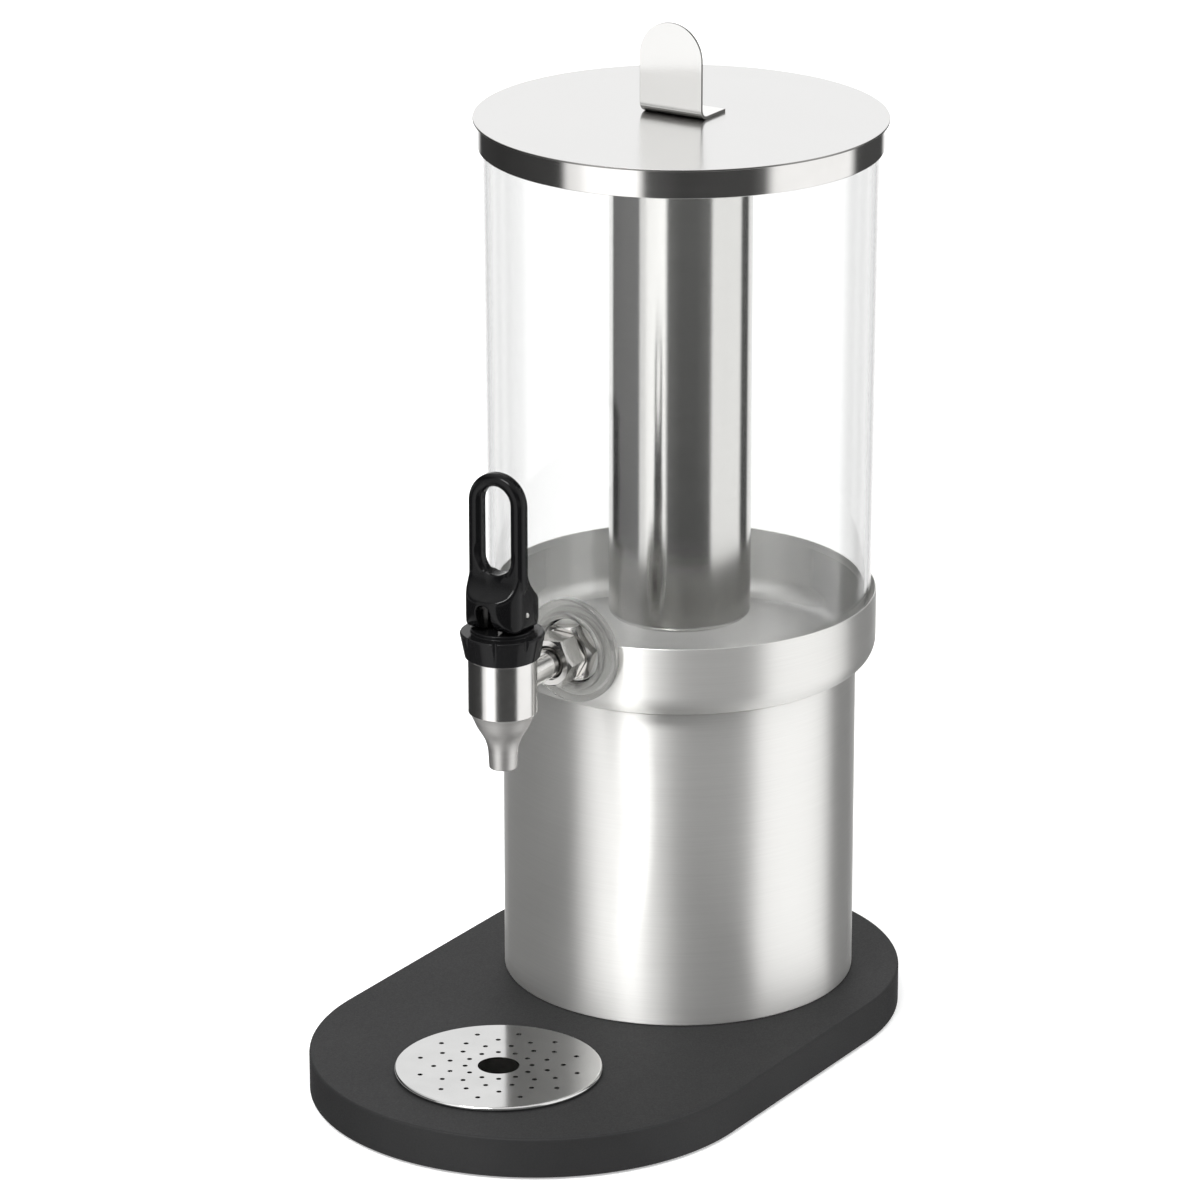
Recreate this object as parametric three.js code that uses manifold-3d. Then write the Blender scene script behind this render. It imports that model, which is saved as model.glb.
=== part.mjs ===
import * as THREE from 'three';
import { mergeVertices } from 'three/addons/utils/BufferGeometryUtils.js';
import Module from 'manifold-3d';

// A table-top juice dispenser: a clear container with a steel lid and an ice tube stands in a
// steel dish on a steel column, its tap over a drip tray let into a black board.
// Millimetres and degrees. +Z is up, the tap points to -Y, the origin is on the floor under the
// middle of the board.

const wasm = await Module();
wasm.setup();

// Shared clearances, sheet and facet counts
const runningGap = 0.3; // between pieces that lift off, turn or slide past each other
const sheet = 0.8; // steel sheet of the dish, the lid skirt, the ice tube and the drip tray
const cutOver = 2; // how far a cutter runs past the face that it cuts
const weldDistance = 0.0001; // corners closer than this are one corner
const columnFacets = 48;
const trayFacets = 36;
const tapFacets = 28;
const smallFacets = 12;
const holeFacets = 6;

// Board, rounded off at both ends
const boardWidth = 220;
const boardLength = 350;
const boardThickness = 20;
const boardEase = 1.2; // chamfer along the top and bottom edges
const endFacets = 18;

// Rubber feet, let into the underside of the board
const footRadius = 9;
const footProud = 1;
const footPocketDepth = 1;
const footEndInset = 62;
const footSideInset = 34;

// Column that carries the container
const columnRadius = 86.5;
const columnHeight = 161.4;
const columnWall = 1;
const columnFlange = 17; // width of the rings turned in at its foot and its top

// Screws from below the board into nuts on the foot of the column
const screwCount = 3;
const screwRadius = 2.5;
const screwHeadRadius = 4.4;
const screwHeadHeight = 3.2;
const screwSocketAcross = 4;
const screwSocketDepth = 1.8;
const screwSunk = 2.4; // head below the underside of the board
const screwEndProud = 1.5; // thread past its nut
const nutAcross = 8;
const nutHeight = 4;

// Dish on top of the column
const dishRadius = 96.2;
const dishHeight = 36.4;
const dishCorner = 12; // outer radius between wall and floor
const cornerFacets = 4;
const notchPlay = 1; // around the outlet boss
const notchFillet = 3; // where the notch opens at the top edge
const filletFacets = 4;

// Container, one clear moulding with the boss for the tap
const containerPlay = 2; // all round inside the dish
const containerHeight = 270;
const containerDraft = 1.5; // how much wider its mouth is than its foot, on the radius
const containerWall = 3;
const containerFloor = 4;
const outletHeight = 30.5; // tap axis above the underside of the container
const bossRadius = 21.6;
const bossProud = 2.8; // face of the boss outside the wall
const bossPadRadius = 17;
const bossPadProud = 1.6; // flat pad inside the wall

// Clear ring glued on the face of the boss, in front of the notch, with the lock nut inside it
const bossRingRadius = 25.6;
const bossRingThickness = 3.6;
const bossRingBore = 16.3;
const bossLipRadius = 19.5;
const bossLipProud = 2.5;

// Tap: a barrel with a chamber, the shank let into its side and the spout let into its floor
const tapReach = 158.5; // from the column axis to the tap axis
const shankRadius = 7.25;
const shankBore = 4.6;
const shankTailProud = 2.8; // thread past the inner nut
const shankSocketShare = 0.5; // of the wall of the barrel that the shank goes into
const barrelRadius = 16.3;
const barrelAbove = 15.2; // from the shank axis up to the shoulder
const barrelBelow = 12; // from the shank axis down to the lower edge
const barrelEase = 0.6;
const chamberRadius = 12.8;
const neckWall = 2.2;
const neckHeight = 9.3;
const seatRise = 4.6; // valve seat above the lower edge of the barrel
const spoutLength = 28;
const spoutTipRadius = 6.6;
const spoutWall = 1.3;
const spoutSpigotRadius = 8;
const spoutSpigotHeight = 2.6;
const spoutRadiusShares = [0.82, 0.57, 0.29, 0.14, 0.05, 0]; // of what barrel exceeds tip
const spoutDropShares = [0.08, 0.27, 0.43, 0.52, 0.66, 1]; // of the spout length

// Nuts and gaskets that hold the tap in the container wall
const gasketThickness = 1.5;
const gasketRadius = 13.6;
const lockNutAcross = 26;
const lockNutLength = 7;
const lockNutTurn = 10;
const tailNutAcross = 22.4;
const tailNutShare = 0.38; // of the shank between the lock nut and the barrel
const tailNutApart = 0.7; // from the lock nut
const tailNutSinkRadius = 8.9; // counterbore round the shank
const tailNutSinkDepth = 2.2;
const innerNutAcross = 24;
const innerNutLength = 6;
const nutChamferShare = 0.12; // of the width across flats

// Bonnet, the plastic cap nut of the tap
const bonnetTopRadius = 20;
const bonnetFootRadius = 17.8;
const bonnetHeight = 12.5;
const bonnetCeiling = 3;
const bonnetEase = 0.8;
const bonnetDiscRadius = 15;
const bonnetDiscProud = 2;
const gripCount = 8;
const gripRadius = 1.6;
const gripDepth = 1;

// Stem, valve cup and spring
const stemRadius = 3.6;
const stemBarbRadius = 4.6;
const stemBarbHeight = 2;
const stemWaistRadius = 2.6;
const stemWaistHeight = 7;
const stemCollarRadius = 8;
const stemCollarHeight = 1.5;
const stemEyeWidth = 6.4;
const cupFootRadius = 5.2;
const cupPlugRadius = 7.2;
const cupPlugHeight = 6.2;
const cupBevel = 1.3;
const cupSkirtRise = 3.2;
const cupFloor = 3.3;
const springWire = 1.1;
const springMeanRadius = 6.1;
const springTurns = 6;
const springStepsPerTurn = 8;
const springWireSides = 5;

// Lever with the fork and cam that lift the stem
const pinRadius = 1.35;
const pinPlay = 0.3; // pin to its holes in the stem and the lever
const pinSunk = 0.3; // pin ends inside the flat sides
const pinAboveDisc = 8; // pin axis above the disc of the bonnet
const camLift = 6; // rise of the stem for each radian that the lever tilts
const camFacets = 10;
const leverBaseRadius = 17.2;
const leverBaseWidth = 28.8; // across its flat sides
const leverHeight = 67; // from the pin to the top of the loop
const leverLipRise = 9; // pin axis to the lip at the front
const leverScoopRise = 18;
const leverNeckRise = 28;
const leverBackRise = 4;
const leverBackFoot = 14;
const leverForward = 3; // middle of the loop in front of the pin
const loopWidth = 29.5;
const loopThickness = 8;
const loopRound = 2.4; // rounding of the loop's edges
const loopRoundFacets = 2;
const loopTop = 6.4; // bar over the finger hole
const loopHoleWidth = 15;
const loopHoleFoot = 18.5; // foot of the finger hole above the pin
const loopFacets = 8;
const forkWidth = 7.8;
const forkRise = 8.6;
const forkBack = 4.2;

// Lid
const lidRadius = 99.6;
const lidSheet = 1;
const skirtRadius = 97.3;
const skirtHeight = 13.5;

// Tab on the lid, an angle of bent sheet
const tabWidth = 34.3;
const tabHeight = 45.8;
const tabSheet = 1.5;
const tabFoot = 22.4;
const tabBend = 2.6;
const tabForward = 5.2; // face of the leaf in front of the middle of the lid
const tabAside = -3; // middle of the leaf beside the middle of the lid
const tabFacets = 14;

// Ice tube and the bayonet holder under the lid
const tubeRadius = 34.65;
const tubeLength = 245.5;
const tubeCorner = 3;
const tubeTopBelowLid = 3;
const lugCount = 3;
const lugProud = 2.7;
const lugHeight = 2.2;
const lugAngle = 20;
const lugBelowTop = 2;
const lugAnglePlay = 2;
const bayonetTurn = 30;
const holderPlay = 0.6;
const holderWall = 4.6;
const holderHeight = 12;

// Drip tray, let into the board in front of the column
const dripReach = 164.2; // from the column axis to the middle of the tray
const cupRecessRadius = 46;
const cupRecessDepth = 13;
const cupDepth = 12;
const cupFlangeWidth = 2.6;
const grilleRadius = 50;
const fingerHoleRadius = 10;
const dripHoleRadius = 1.25;
const dripHolesPerRing = 12;
const dripRingShares = [0.32, 0.48, 0.62, 0.775]; // ring radii as shares of the grille radius
const dripPhase = 3.4;

// Heights and places that follow from the sizes above
const boardTop = footProud + boardThickness;
const endRadius = boardWidth / 2;
const columnY = boardLength / 2 - endRadius;
const dishBottom = boardTop + columnHeight;
const containerBottom = dishBottom + sheet + runningGap;
const containerFootRadius = dishRadius - sheet - containerPlay;
const lidUnderside = containerBottom + containerHeight + runningGap;
const lidTop = lidUnderside + lidSheet;
const outletZ = containerBottom + outletHeight;
const bossFace = containerFootRadius + bossProud;
const ringFace = bossFace + bossRingThickness;
const padFace = containerFootRadius - containerWall - bossPadProud;
const lockNutStart = bossFace + gasketThickness;
const tailNutStart = lockNutStart + lockNutLength + tailNutApart;
const tailNutEnd = tailNutStart + tailNutShare * (tapReach - barrelRadius - tailNutStart);
const innerNutFace = padFace - gasketThickness;
const shankTail = innerNutFace - innerNutLength - shankTailProud;
const neckRadius = chamberRadius + neckWall;
const seatHeight = seatRise - barrelBelow;
const shankEnd = tapReach - barrelRadius + shankSocketShare * (barrelRadius - chamberRadius);
const waterwayRadius = spoutTipRadius - spoutWall;
const bonnetFoot = barrelAbove + runningGap;
const bonnetTop = bonnetFoot + bonnetHeight;
const bonnetInside = bonnetTop - bonnetCeiling;
const discTop = bonnetTop + bonnetDiscProud;
const pinHeight = discTop + pinAboveDisc;
const camRest = pinAboveDisc - runningGap;
const cupBottom = seatHeight + runningGap;
const stemBottom = cupBottom + cupFloor + runningGap;
const collarBottom = stemBottom + stemBarbHeight + stemWaistHeight;
const collarTop = collarBottom + stemCollarHeight;
const threadBore = shankRadius + runningGap;

const steel = (roughness, color = 0xc9c7c4) =>
  new THREE.MeshStandardMaterial({ color, roughness, metalness: 1, flatShading: true });
const plastic = (color, roughness, opacity = 1) =>
  new THREE.MeshStandardMaterial({
    color, roughness, metalness: 0, opacity, transparent: opacity < 1, flatShading: true,
  });
const finish = {
  board: plastic(0x2e2e2e, 0.75),
  rubber: plastic(0x1c1c1c, 0.9),
  brushed: steel(0.38),
  polished: steel(0.14),
  satin: steel(0.26, 0xb9b8b5),
  zinc: steel(0.45, 0xb5b7b8),
  clear: plastic(0xf2f4f4, 0.06, 0.25),
  silicone: plastic(0xe4e4e0, 0.5, 0.8),
  black: plastic(0x0d0d0d, 0.22),
};

const radians = THREE.MathUtils.degToRad;

/** Points [x, y] as vectors. */
const vectors = (points) => points.map(([x, y]) => new THREE.Vector2(x, y));

/** Steps along an arc round (cx, cy), both ends included, angles in degrees. */
function arc(cx, cy, radius, from, to, steps) {
  return Array.from({ length: steps + 1 }, (_, i) => {
    const angle = radians(from + ((to - from) * i) / steps);
    return [cx + radius * Math.cos(angle), cy + radius * Math.sin(angle)];
  });
}

/** Signed volume of an indexed triangle mesh, negative when it is inside out. */
function signedVolume(vertices, triangles) {
  const corner = (i) => new THREE.Vector3().fromArray(vertices, triangles[i] * 3);
  let volume = 0;
  for (let i = 0; i < triangles.length; i += 3) {
    volume += corner(i).dot(corner(i + 1).cross(corner(i + 2))) / 6;
  }
  return volume;
}

/** A closed geometry as a solid that can be joined and cut. */
function solid(geometry) {
  const bare = geometry.clone();
  bare.deleteAttribute('normal');
  bare.deleteAttribute('uv');
  const merged = mergeVertices(bare, weldDistance);
  const vertices = merged.getAttribute('position').array;
  const index = merged.getIndex().array;
  const kept = [];
  for (let i = 0; i < index.length; i += 3) {
    const [a, b, c] = index.slice(i, i + 3);
    if (a !== b && b !== c && c !== a) kept.push(a, b, c);
  }
  if (signedVolume(vertices, kept) < 0) kept.reverse();
  return new wasm.Manifold(new wasm.Mesh({
    numProp: 3,
    vertProperties: new Float32Array(vertices),
    triVerts: new Uint32Array(kept),
  }));
}

const join = (...solids) => solids.reduce((whole, next) => whole.add(next));
const cut = (whole, ...cutters) => cutters.reduce((rest, next) => rest.subtract(next), whole);

/** A solid as a named mesh with its own material, set at a place. */
function piece(name, shape, material, place = [0, 0, 0]) {
  const { vertProperties, triVerts } = shape.getMesh();
  const geometry = new THREE.BufferGeometry();
  geometry.setAttribute('position', new THREE.BufferAttribute(vertProperties, 3));
  geometry.setIndex(new THREE.BufferAttribute(triVerts, 1));
  geometry.computeVertexNormals();
  const mesh = new THREE.Mesh(geometry, material.clone());
  mesh.name = name;
  mesh.position.set(...place);
  return mesh;
}

/** Group of pieces that share a place. */
function group(place, ...pieces) {
  const holder = new THREE.Group();
  holder.position.set(...place);
  holder.add(...pieces);
  return holder;
}

/** Revolve of an [r, z] outline about the Z axis. An outline off the axis is closed here. */
function turned(outline, facets) {
  const open = outline[0][0] > 0;
  const points = vectors(open ? [...outline, outline[0]] : outline);
  return solid(new THREE.LatheGeometry(points, facets).rotateX(Math.PI / 2));
}

/** Revolve about a line along Y, its outline given as [r, distance towards the front]. */
function turnedForward(outline, facets) {
  const open = outline[0][0] > 0;
  const points = vectors(open ? [...outline, outline[0]] : outline);
  return solid(new THREE.LatheGeometry(points, facets).rotateX(Math.PI));
}

/** Cylinder along Z from z0 to z1. */
const rod = (radius, z0, z1, facets) =>
  turned([[0, z0], [radius, z0], [radius, z1], [0, z1]], facets);

/** Cylinder along Y between two distances towards the front. */
const forwardRod = (radius, d0, d1, facets) =>
  turnedForward([[0, d0], [radius, d0], [radius, d1], [0, d1]], facets);

/** Cylinder along X between two places. */
const crossRod = (radius, x0, x1, facets) =>
  solid(new THREE.CylinderGeometry(radius, radius, x1 - x0, facets)
    .rotateZ(Math.PI / 2).translate((x0 + x1) / 2, 0, 0));

/** Box between two corners. */
function block([x0, y0, z0], [x1, y1, z1]) {
  const box = new THREE.BoxGeometry(x1 - x0, y1 - y0, z1 - z0);
  return solid(box.translate((x0 + x1) / 2, (y0 + y1) / 2, (z0 + z1) / 2));
}

/** Upright prism of an outline in plan, from z0 to z1. */
const upright = (shape, z0, z1, curveSegments = 1) =>
  solid(new THREE.ExtrudeGeometry(shape, { depth: z1 - z0, bevelEnabled: false, curveSegments })
    .translate(0, 0, z0));

/** Prism of an outline seen from the front [x, z], between two distances to the front. */
const seenFromFront = (shape, d0, d1, curveSegments = 1) =>
  solid(new THREE.ExtrudeGeometry(shape, { depth: d1 - d0, bevelEnabled: false, curveSegments })
    .rotateX(Math.PI / 2).translate(0, -d0, 0));

/** Prism of an outline seen from the right-hand side [y, z], between two places along X. */
const seenFromSide = (shape, x0, x1) =>
  solid(new THREE.ExtrudeGeometry(shape, { depth: x1 - x0, bevelEnabled: false })
    .rotateX(Math.PI / 2).rotateZ(Math.PI / 2).translate(x0, 0, 0));

/** Regular hexagon with a corner on +X, turned by an angle in degrees. */
const hexagon = (across, turn = 0) =>
  new THREE.Shape(vectors(arc(0, 0, across / Math.sqrt(3), turn, turn + 300, 5)));

/** Part of a ring between two angles, from z0 to z1. */
function ringPart(r0, r1, from, to, z0, z1) {
  const outer = arc(0, 0, r1, from, to, cornerFacets);
  const inner = arc(0, 0, r0, to, from, cornerFacets);
  return upright(new THREE.Shape(vectors([...outer, ...inner])), z0, z1);
}

/** Angles that share a full turn evenly, in degrees. */
const turns = (count, phase = 0) =>
  Array.from({ length: count }, (_, i) => phase + (i * 360) / count);

/** Place on a circle at an angle in degrees. */
const around = (radius, angle) =>
  [radius * Math.cos(radians(angle)), radius * Math.sin(radians(angle))];

const feetPlaces = [-1, 1].flatMap((sideways) => [-1, 1].map((lengthways) => [
  sideways * (boardWidth / 2 - footSideInset),
  lengthways * (boardLength / 2 - footEndInset),
]));
const screwCircle = columnRadius - columnFlange / 2;
const screwPlaces = turns(screwCount, 90).map((angle) => around(screwCircle, angle));

/** Plan of the board: straight sides and two half-round ends, drawn in by an inset. */
function boardPlan(inset) {
  const radius = endRadius - inset;
  return new THREE.Shape(vectors([
    ...arc(0, columnY, radius, 0, 180, endFacets),
    ...arc(0, -columnY, radius, 180, 360, endFacets),
  ]));
}

/** Board with eased edges, the recess of the drip tray, foot pockets and screw holes. */
function makeBoard() {
  const eased = new THREE.ExtrudeGeometry(boardPlan(boardEase), {
    depth: boardThickness - 2 * boardEase,
    bevelThickness: boardEase,
    bevelSize: boardEase,
    bevelSegments: 1,
    curveSegments: 1,
  });
  const slab = solid(eased.translate(0, 0, footProud + boardEase));
  const recess = rod(cupRecessRadius, boardTop - cupRecessDepth, boardTop + cutOver, trayFacets)
    .translate(0, columnY - dripReach, 0);
  const pockets = feetPlaces.map(([x, y]) => rod(
    footRadius + runningGap, footProud - cutOver, footProud + footPocketDepth, smallFacets,
  ).translate(x, y, 0));
  const screwHoles = screwPlaces.flatMap(([x, y]) => [
    rod(screwRadius + runningGap, 0, boardTop + cutOver, smallFacets),
    rod(screwHeadRadius + runningGap, 0, footProud + screwSunk + screwHeadHeight, smallFacets),
  ].map((hole) => hole.translate(x, columnY + y, 0)));
  return piece('board', cut(slab, recess, ...pockets, ...screwHoles), finish.board);
}

/** Rubber feet, flush in their pockets. */
function makeFeet() {
  const pad = rod(footRadius, 0, footProud + footPocketDepth, smallFacets);
  return feetPlaces.map(([x, y], i) => piece(`foot_pad_${i + 1}`, pad, finish.rubber, [x, y, 0]));
}

/** Column: a tube with a flange turned in at its foot and at its top. */
function makeColumn() {
  const inside = columnRadius - columnWall;
  const flangeEdge = columnRadius - columnFlange;
  const tube = turned([
    [flangeEdge, boardTop],
    [columnRadius, boardTop],
    [columnRadius, dishBottom],
    [flangeEdge, dishBottom],
    [flangeEdge, dishBottom - columnWall],
    [inside, dishBottom - columnWall],
    [inside, boardTop + columnWall],
    [flangeEdge, boardTop + columnWall],
  ], columnFacets);
  const holes = screwPlaces.map(([x, y]) => rod(
    screwRadius + runningGap, boardTop - cutOver, boardTop + columnWall + cutOver, smallFacets,
  ).translate(x, y, 0));
  return piece('column_shell', cut(tube, ...holes), finish.brushed);
}

/** Screws with a hexagon socket, and the nuts on the foot flange of the column. */
function makeFasteners() {
  const headBottom = footProud + screwSunk;
  const headTop = headBottom + screwHeadHeight;
  const nutBottom = boardTop + columnWall;
  const nutTop = nutBottom + nutHeight;
  const blank = turned([
    [0, headBottom],
    [screwHeadRadius, headBottom],
    [screwHeadRadius, headTop],
    [screwRadius, headTop],
    [screwRadius, nutTop + screwEndProud],
    [0, nutTop + screwEndProud],
  ], smallFacets);
  const socket = upright(
    hexagon(screwSocketAcross), headBottom - cutOver, headBottom + screwSocketDepth,
  );
  const screw = cut(blank, socket);
  const bore = rod(screwRadius + runningGap, nutBottom - cutOver, nutTop + cutOver, smallFacets);
  const nut = cut(upright(hexagon(nutAcross), nutBottom, nutTop), bore);
  return screwPlaces.flatMap(([x, y], i) => [
    piece(`column_screw_${i + 1}`, screw, finish.zinc, [x, y, 0]),
    piece(`column_nut_${i + 1}`, nut, finish.zinc, [x, y, 0]),
  ]);
}

/** Notch that lets the boss of the container drop into the dish, as seen from the front. */
function notchOutline() {
  const half = bossRadius + notchPlay;
  const edge = dishBottom + dishHeight;
  const above = edge + cutOver;
  const wide = half + notchFillet;
  const sweep = filletFacets;
  return new THREE.Shape(vectors([
    ...arc(0, outletZ, half, 180, 360, smallFacets),
    ...arc(wide, edge - notchFillet, notchFillet, 180, 90, sweep),
    [wide, above],
    [-wide, above],
    ...arc(-wide, edge - notchFillet, notchFillet, 90, 0, sweep),
  ]));
}

/** Dish: a pressed pan with a rounded corner, notched at the front for the boss. */
function makeDish() {
  const top = dishBottom + dishHeight;
  const centreR = dishRadius - dishCorner;
  const centreZ = dishBottom + dishCorner;
  const pan = turned([
    [0, dishBottom],
    ...arc(centreR, centreZ, dishCorner, 270, 360, cornerFacets),
    [dishRadius, top],
    [dishRadius - sheet, top],
    ...arc(centreR, centreZ, dishCorner - sheet, 360, 270, cornerFacets),
    [0, dishBottom + sheet],
  ], columnFacets);
  const notch = seenFromFront(notchOutline(), bossRadius, dishRadius + cutOver);
  return piece('collar_dish', cut(pan, notch), finish.brushed);
}

/** Container: a drafted cup with the boss for the tap and the pad inside. */
function makeContainer() {
  const top = containerBottom + containerHeight;
  const mouth = containerFootRadius + containerDraft;
  const corner = dishCorner - sheet + runningGap;
  const centreR = containerFootRadius - corner;
  const centreZ = containerBottom + corner;
  const floorTop = containerBottom + containerFloor;
  const innerCorner = corner - containerWall;
  const outside = turned([
    [0, containerBottom],
    ...arc(centreR, centreZ, corner, 270, 360, cornerFacets),
    [mouth, top],
    [0, top],
  ], columnFacets);
  const inside = turned([
    [0, floorTop],
    ...arc(centreR, floorTop + innerCorner, innerCorner, 270, 360, cornerFacets),
    [mouth - containerWall, top + cutOver],
    [0, top + cutOver],
  ], columnFacets);
  const boss = forwardRod(bossRadius, padFace, bossFace, tapFacets).translate(0, 0, outletZ);
  const pad = forwardRod(bossPadRadius, padFace, bossFace, tapFacets).translate(0, 0, outletZ);
  const hole = forwardRod(threadBore, padFace - cutOver, bossFace + cutOver, tapFacets)
    .translate(0, 0, outletZ);
  const shell = cut(join(outside, boss), inside);
  return piece('container', cut(join(shell, pad), hole), finish.clear);
}

/** Ring on the face of the boss, with a raised lip round the lock nut. */
function makeBossRing() {
  const ring = join(
    forwardRod(bossRingRadius, bossFace, ringFace, tapFacets),
    forwardRod(bossLipRadius, bossFace, ringFace + bossLipProud, tapFacets),
  );
  const hole = forwardRod(
    bossRingBore, bossFace - cutOver, ringFace + bossLipProud + cutOver, tapFacets,
  );
  return piece('boss_ring', cut(ring, hole), finish.clear);
}

/** Hexagon nut on the shank, its corners chamfered, between two distances to the front. */
function nutOnShank(across, d0, d1, turn = 0) {
  const chamfer = across * nutChamferShare;
  const corner = across / Math.sqrt(3);
  const limit = turnedForward([
    [0, d0],
    [corner - chamfer / 2, d0],
    [corner, d0 + chamfer / 2],
    [corner, d1 - chamfer / 2],
    [corner - chamfer / 2, d1],
    [0, d1],
  ], tapFacets);
  const bore = forwardRod(threadBore, d0 - cutOver, d1 + cutOver, smallFacets);
  return cut(seenFromFront(hexagon(across, turn), d0, d1).intersect(limit), bore);
}

/** Flat ring round the shank between two distances to the front. */
const gasket = (d0) => cut(
  forwardRod(gasketRadius, d0, d0 + gasketThickness, smallFacets),
  forwardRod(threadBore, d0 - cutOver, d0 + gasketThickness + cutOver, smallFacets),
);

/** What clamps the tap to the container wall, from the inside out. */
function makeTapFixings() {
  const tailNut = cut(
    nutOnShank(tailNutAcross, tailNutStart, tailNutEnd),
    forwardRod(tailNutSinkRadius, tailNutEnd - tailNutSinkDepth, tailNutEnd + cutOver, smallFacets),
  );
  const lockNut =
    nutOnShank(lockNutAcross, lockNutStart, lockNutStart + lockNutLength, lockNutTurn);
  const innerNut = nutOnShank(innerNutAcross, innerNutFace - innerNutLength, innerNutFace);
  return [
    piece('inner_nut', innerNut, finish.polished),
    piece('inner_gasket', gasket(innerNutFace), finish.silicone),
    piece('outer_gasket', gasket(bossFace), finish.silicone),
    piece('lock_nut', lockNut, finish.polished),
    piece('tail_nut', tailNut, finish.polished),
  ];
}

/** Tap body: a barrel with the valve chamber, threaded at its neck, side and floor. */
function makeTapBody() {
  const shoulder = barrelAbove;
  const neckTop = shoulder + neckHeight;
  const foot = -barrelBelow;
  const barrel = turned([
    [0, neckTop],
    [neckRadius, neckTop],
    [neckRadius, shoulder],
    [barrelRadius, shoulder],
    [barrelRadius, foot + barrelEase],
    [barrelRadius - barrelEase, foot],
    [0, foot],
  ], tapFacets);
  const chamber = rod(chamberRadius, seatHeight, neckTop + cutOver, tapFacets);
  const waterway = rod(waterwayRadius, foot - cutOver, seatHeight + cutOver, smallFacets);
  const spoutSocket = rod(
    spoutSpigotRadius + runningGap, foot - cutOver, foot + spoutSpigotHeight + runningGap, tapFacets,
  );
  const shankSocket = forwardRod(threadBore, 0, shankEnd + runningGap, smallFacets);
  const shankHole = forwardRod(shankBore, 0, tapReach, smallFacets);
  const sideHoles = join(shankSocket, shankHole).translate(0, tapReach, 0);
  return piece('tap_body', cut(barrel, chamber, waterway, spoutSocket, sideHoles),
    finish.polished);
}

/** Shank: a threaded tube from inside the container to the side of the barrel. */
function makeTapShank() {
  const shank = turnedForward([
    [shankBore, shankTail],
    [shankRadius, shankTail],
    [shankRadius, shankEnd],
    [shankBore, shankEnd],
  ], smallFacets);
  return piece('tap_shank', shank, finish.polished);
}

/** Spout: drawn in below the barrel, with a spigot that goes up into its floor. */
function makeTapSpout() {
  const spigotTop = -barrelBelow + spoutSpigotHeight;
  const taper = spoutDropShares.map((drop, i) => [
    spoutTipRadius + spoutRadiusShares[i] * (barrelRadius - spoutTipRadius),
    -barrelBelow - drop * spoutLength,
  ]);
  const spout = turned([
    [waterwayRadius, spigotTop],
    [spoutSpigotRadius, spigotTop],
    [spoutSpigotRadius, -barrelBelow],
    [barrelRadius - barrelEase, -barrelBelow],
    ...taper,
    [waterwayRadius, -barrelBelow - spoutLength],
  ], tapFacets);
  return piece('tap_spout', spout, finish.satin);
}

/** Bonnet: a tapered cap nut with grip grooves and the disc that the lever rocks on. */
function makeBonnet() {
  const hole = stemRadius + runningGap;
  const cap = turned([
    [hole, discTop],
    [bonnetDiscRadius, discTop],
    [bonnetDiscRadius, bonnetTop],
    [bonnetTopRadius - bonnetEase, bonnetTop],
    [bonnetTopRadius, bonnetTop - bonnetEase],
    [bonnetFootRadius, bonnetFoot + bonnetEase],
    [bonnetFootRadius - bonnetEase, bonnetFoot],
    [neckRadius + runningGap, bonnetFoot],
    [neckRadius + runningGap, bonnetInside],
    [hole, bonnetInside],
  ], tapFacets);
  const gripPlace = bonnetTopRadius + gripRadius - gripDepth;
  const grips = turns(gripCount, 360 / gripCount / 2).map((angle) => {
    const [x, y] = around(gripPlace, angle);
    return rod(gripRadius, bonnetFoot - cutOver, bonnetTop + cutOver, holeFacets)
      .translate(x, y, 0);
  });
  return piece('bonnet', cut(cap, ...grips), finish.black);
}

/** Stem: barb, collar and shaft, flattened to an eye for the pin of the lever. */
function makeStem() {
  const top = pinHeight + stemRadius;
  const shaft = turned([
    [0, stemBottom],
    [stemBarbRadius, stemBottom],
    [stemBarbRadius, stemBottom + stemBarbHeight],
    [stemWaistRadius, stemBottom + stemBarbHeight],
    [stemWaistRadius, collarBottom],
    [stemCollarRadius, collarBottom],
    [stemCollarRadius, collarTop],
    [stemRadius, collarTop],
    [stemRadius, top],
    [0, top],
  ], smallFacets);
  const side = stemEyeWidth / 2;
  const far = stemRadius + cutOver;
  const eyeFoot = pinHeight - stemRadius;
  const flats = [[side, far], [-far, -side]].map(([x0, x1]) =>
    block([x0, -far, eyeFoot], [x1, far, top + cutOver]));
  const eye = join(
    block([-far, -far, stemBottom - cutOver], [far, far, pinHeight]),
    crossRod(stemRadius, -far, far, smallFacets).translate(0, 0, pinHeight),
    block([-stemCollarRadius, -stemCollarRadius, stemBottom - cutOver],
      [stemCollarRadius, stemCollarRadius, collarTop]),
  );
  const hole = crossRod(pinRadius + pinPlay, -far, far, smallFacets).translate(0, 0, pinHeight);
  return piece('stem', cut(shaft.intersect(eye), ...flats, hole), finish.polished);
}

/** Soft valve cup that the barb of the stem holds, closing the seat in the tap body. */
function makeSeatCup() {
  const plugTop = cupBottom + cupPlugHeight;
  const skirtFoot = plugTop + cupSkirtRise;
  const top = collarBottom - runningGap;
  const skirtRadius = chamberRadius - 2 * runningGap;
  const barbTop = stemBottom + stemBarbHeight + runningGap;
  const cup = turned([
    [0, cupBottom],
    [cupFootRadius, cupBottom],
    [cupPlugRadius, cupBottom + cupBevel],
    [cupPlugRadius, plugTop],
    [skirtRadius, skirtFoot],
    [skirtRadius, top],
    [stemWaistRadius + runningGap, top],
    [stemWaistRadius + runningGap, barbTop],
    [stemBarbRadius + runningGap, barbTop],
    [stemBarbRadius + runningGap, cupBottom + cupFloor],
    [0, cupBottom + cupFloor],
  ], smallFacets);
  return piece('seat_cup', cup, finish.silicone);
}

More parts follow.
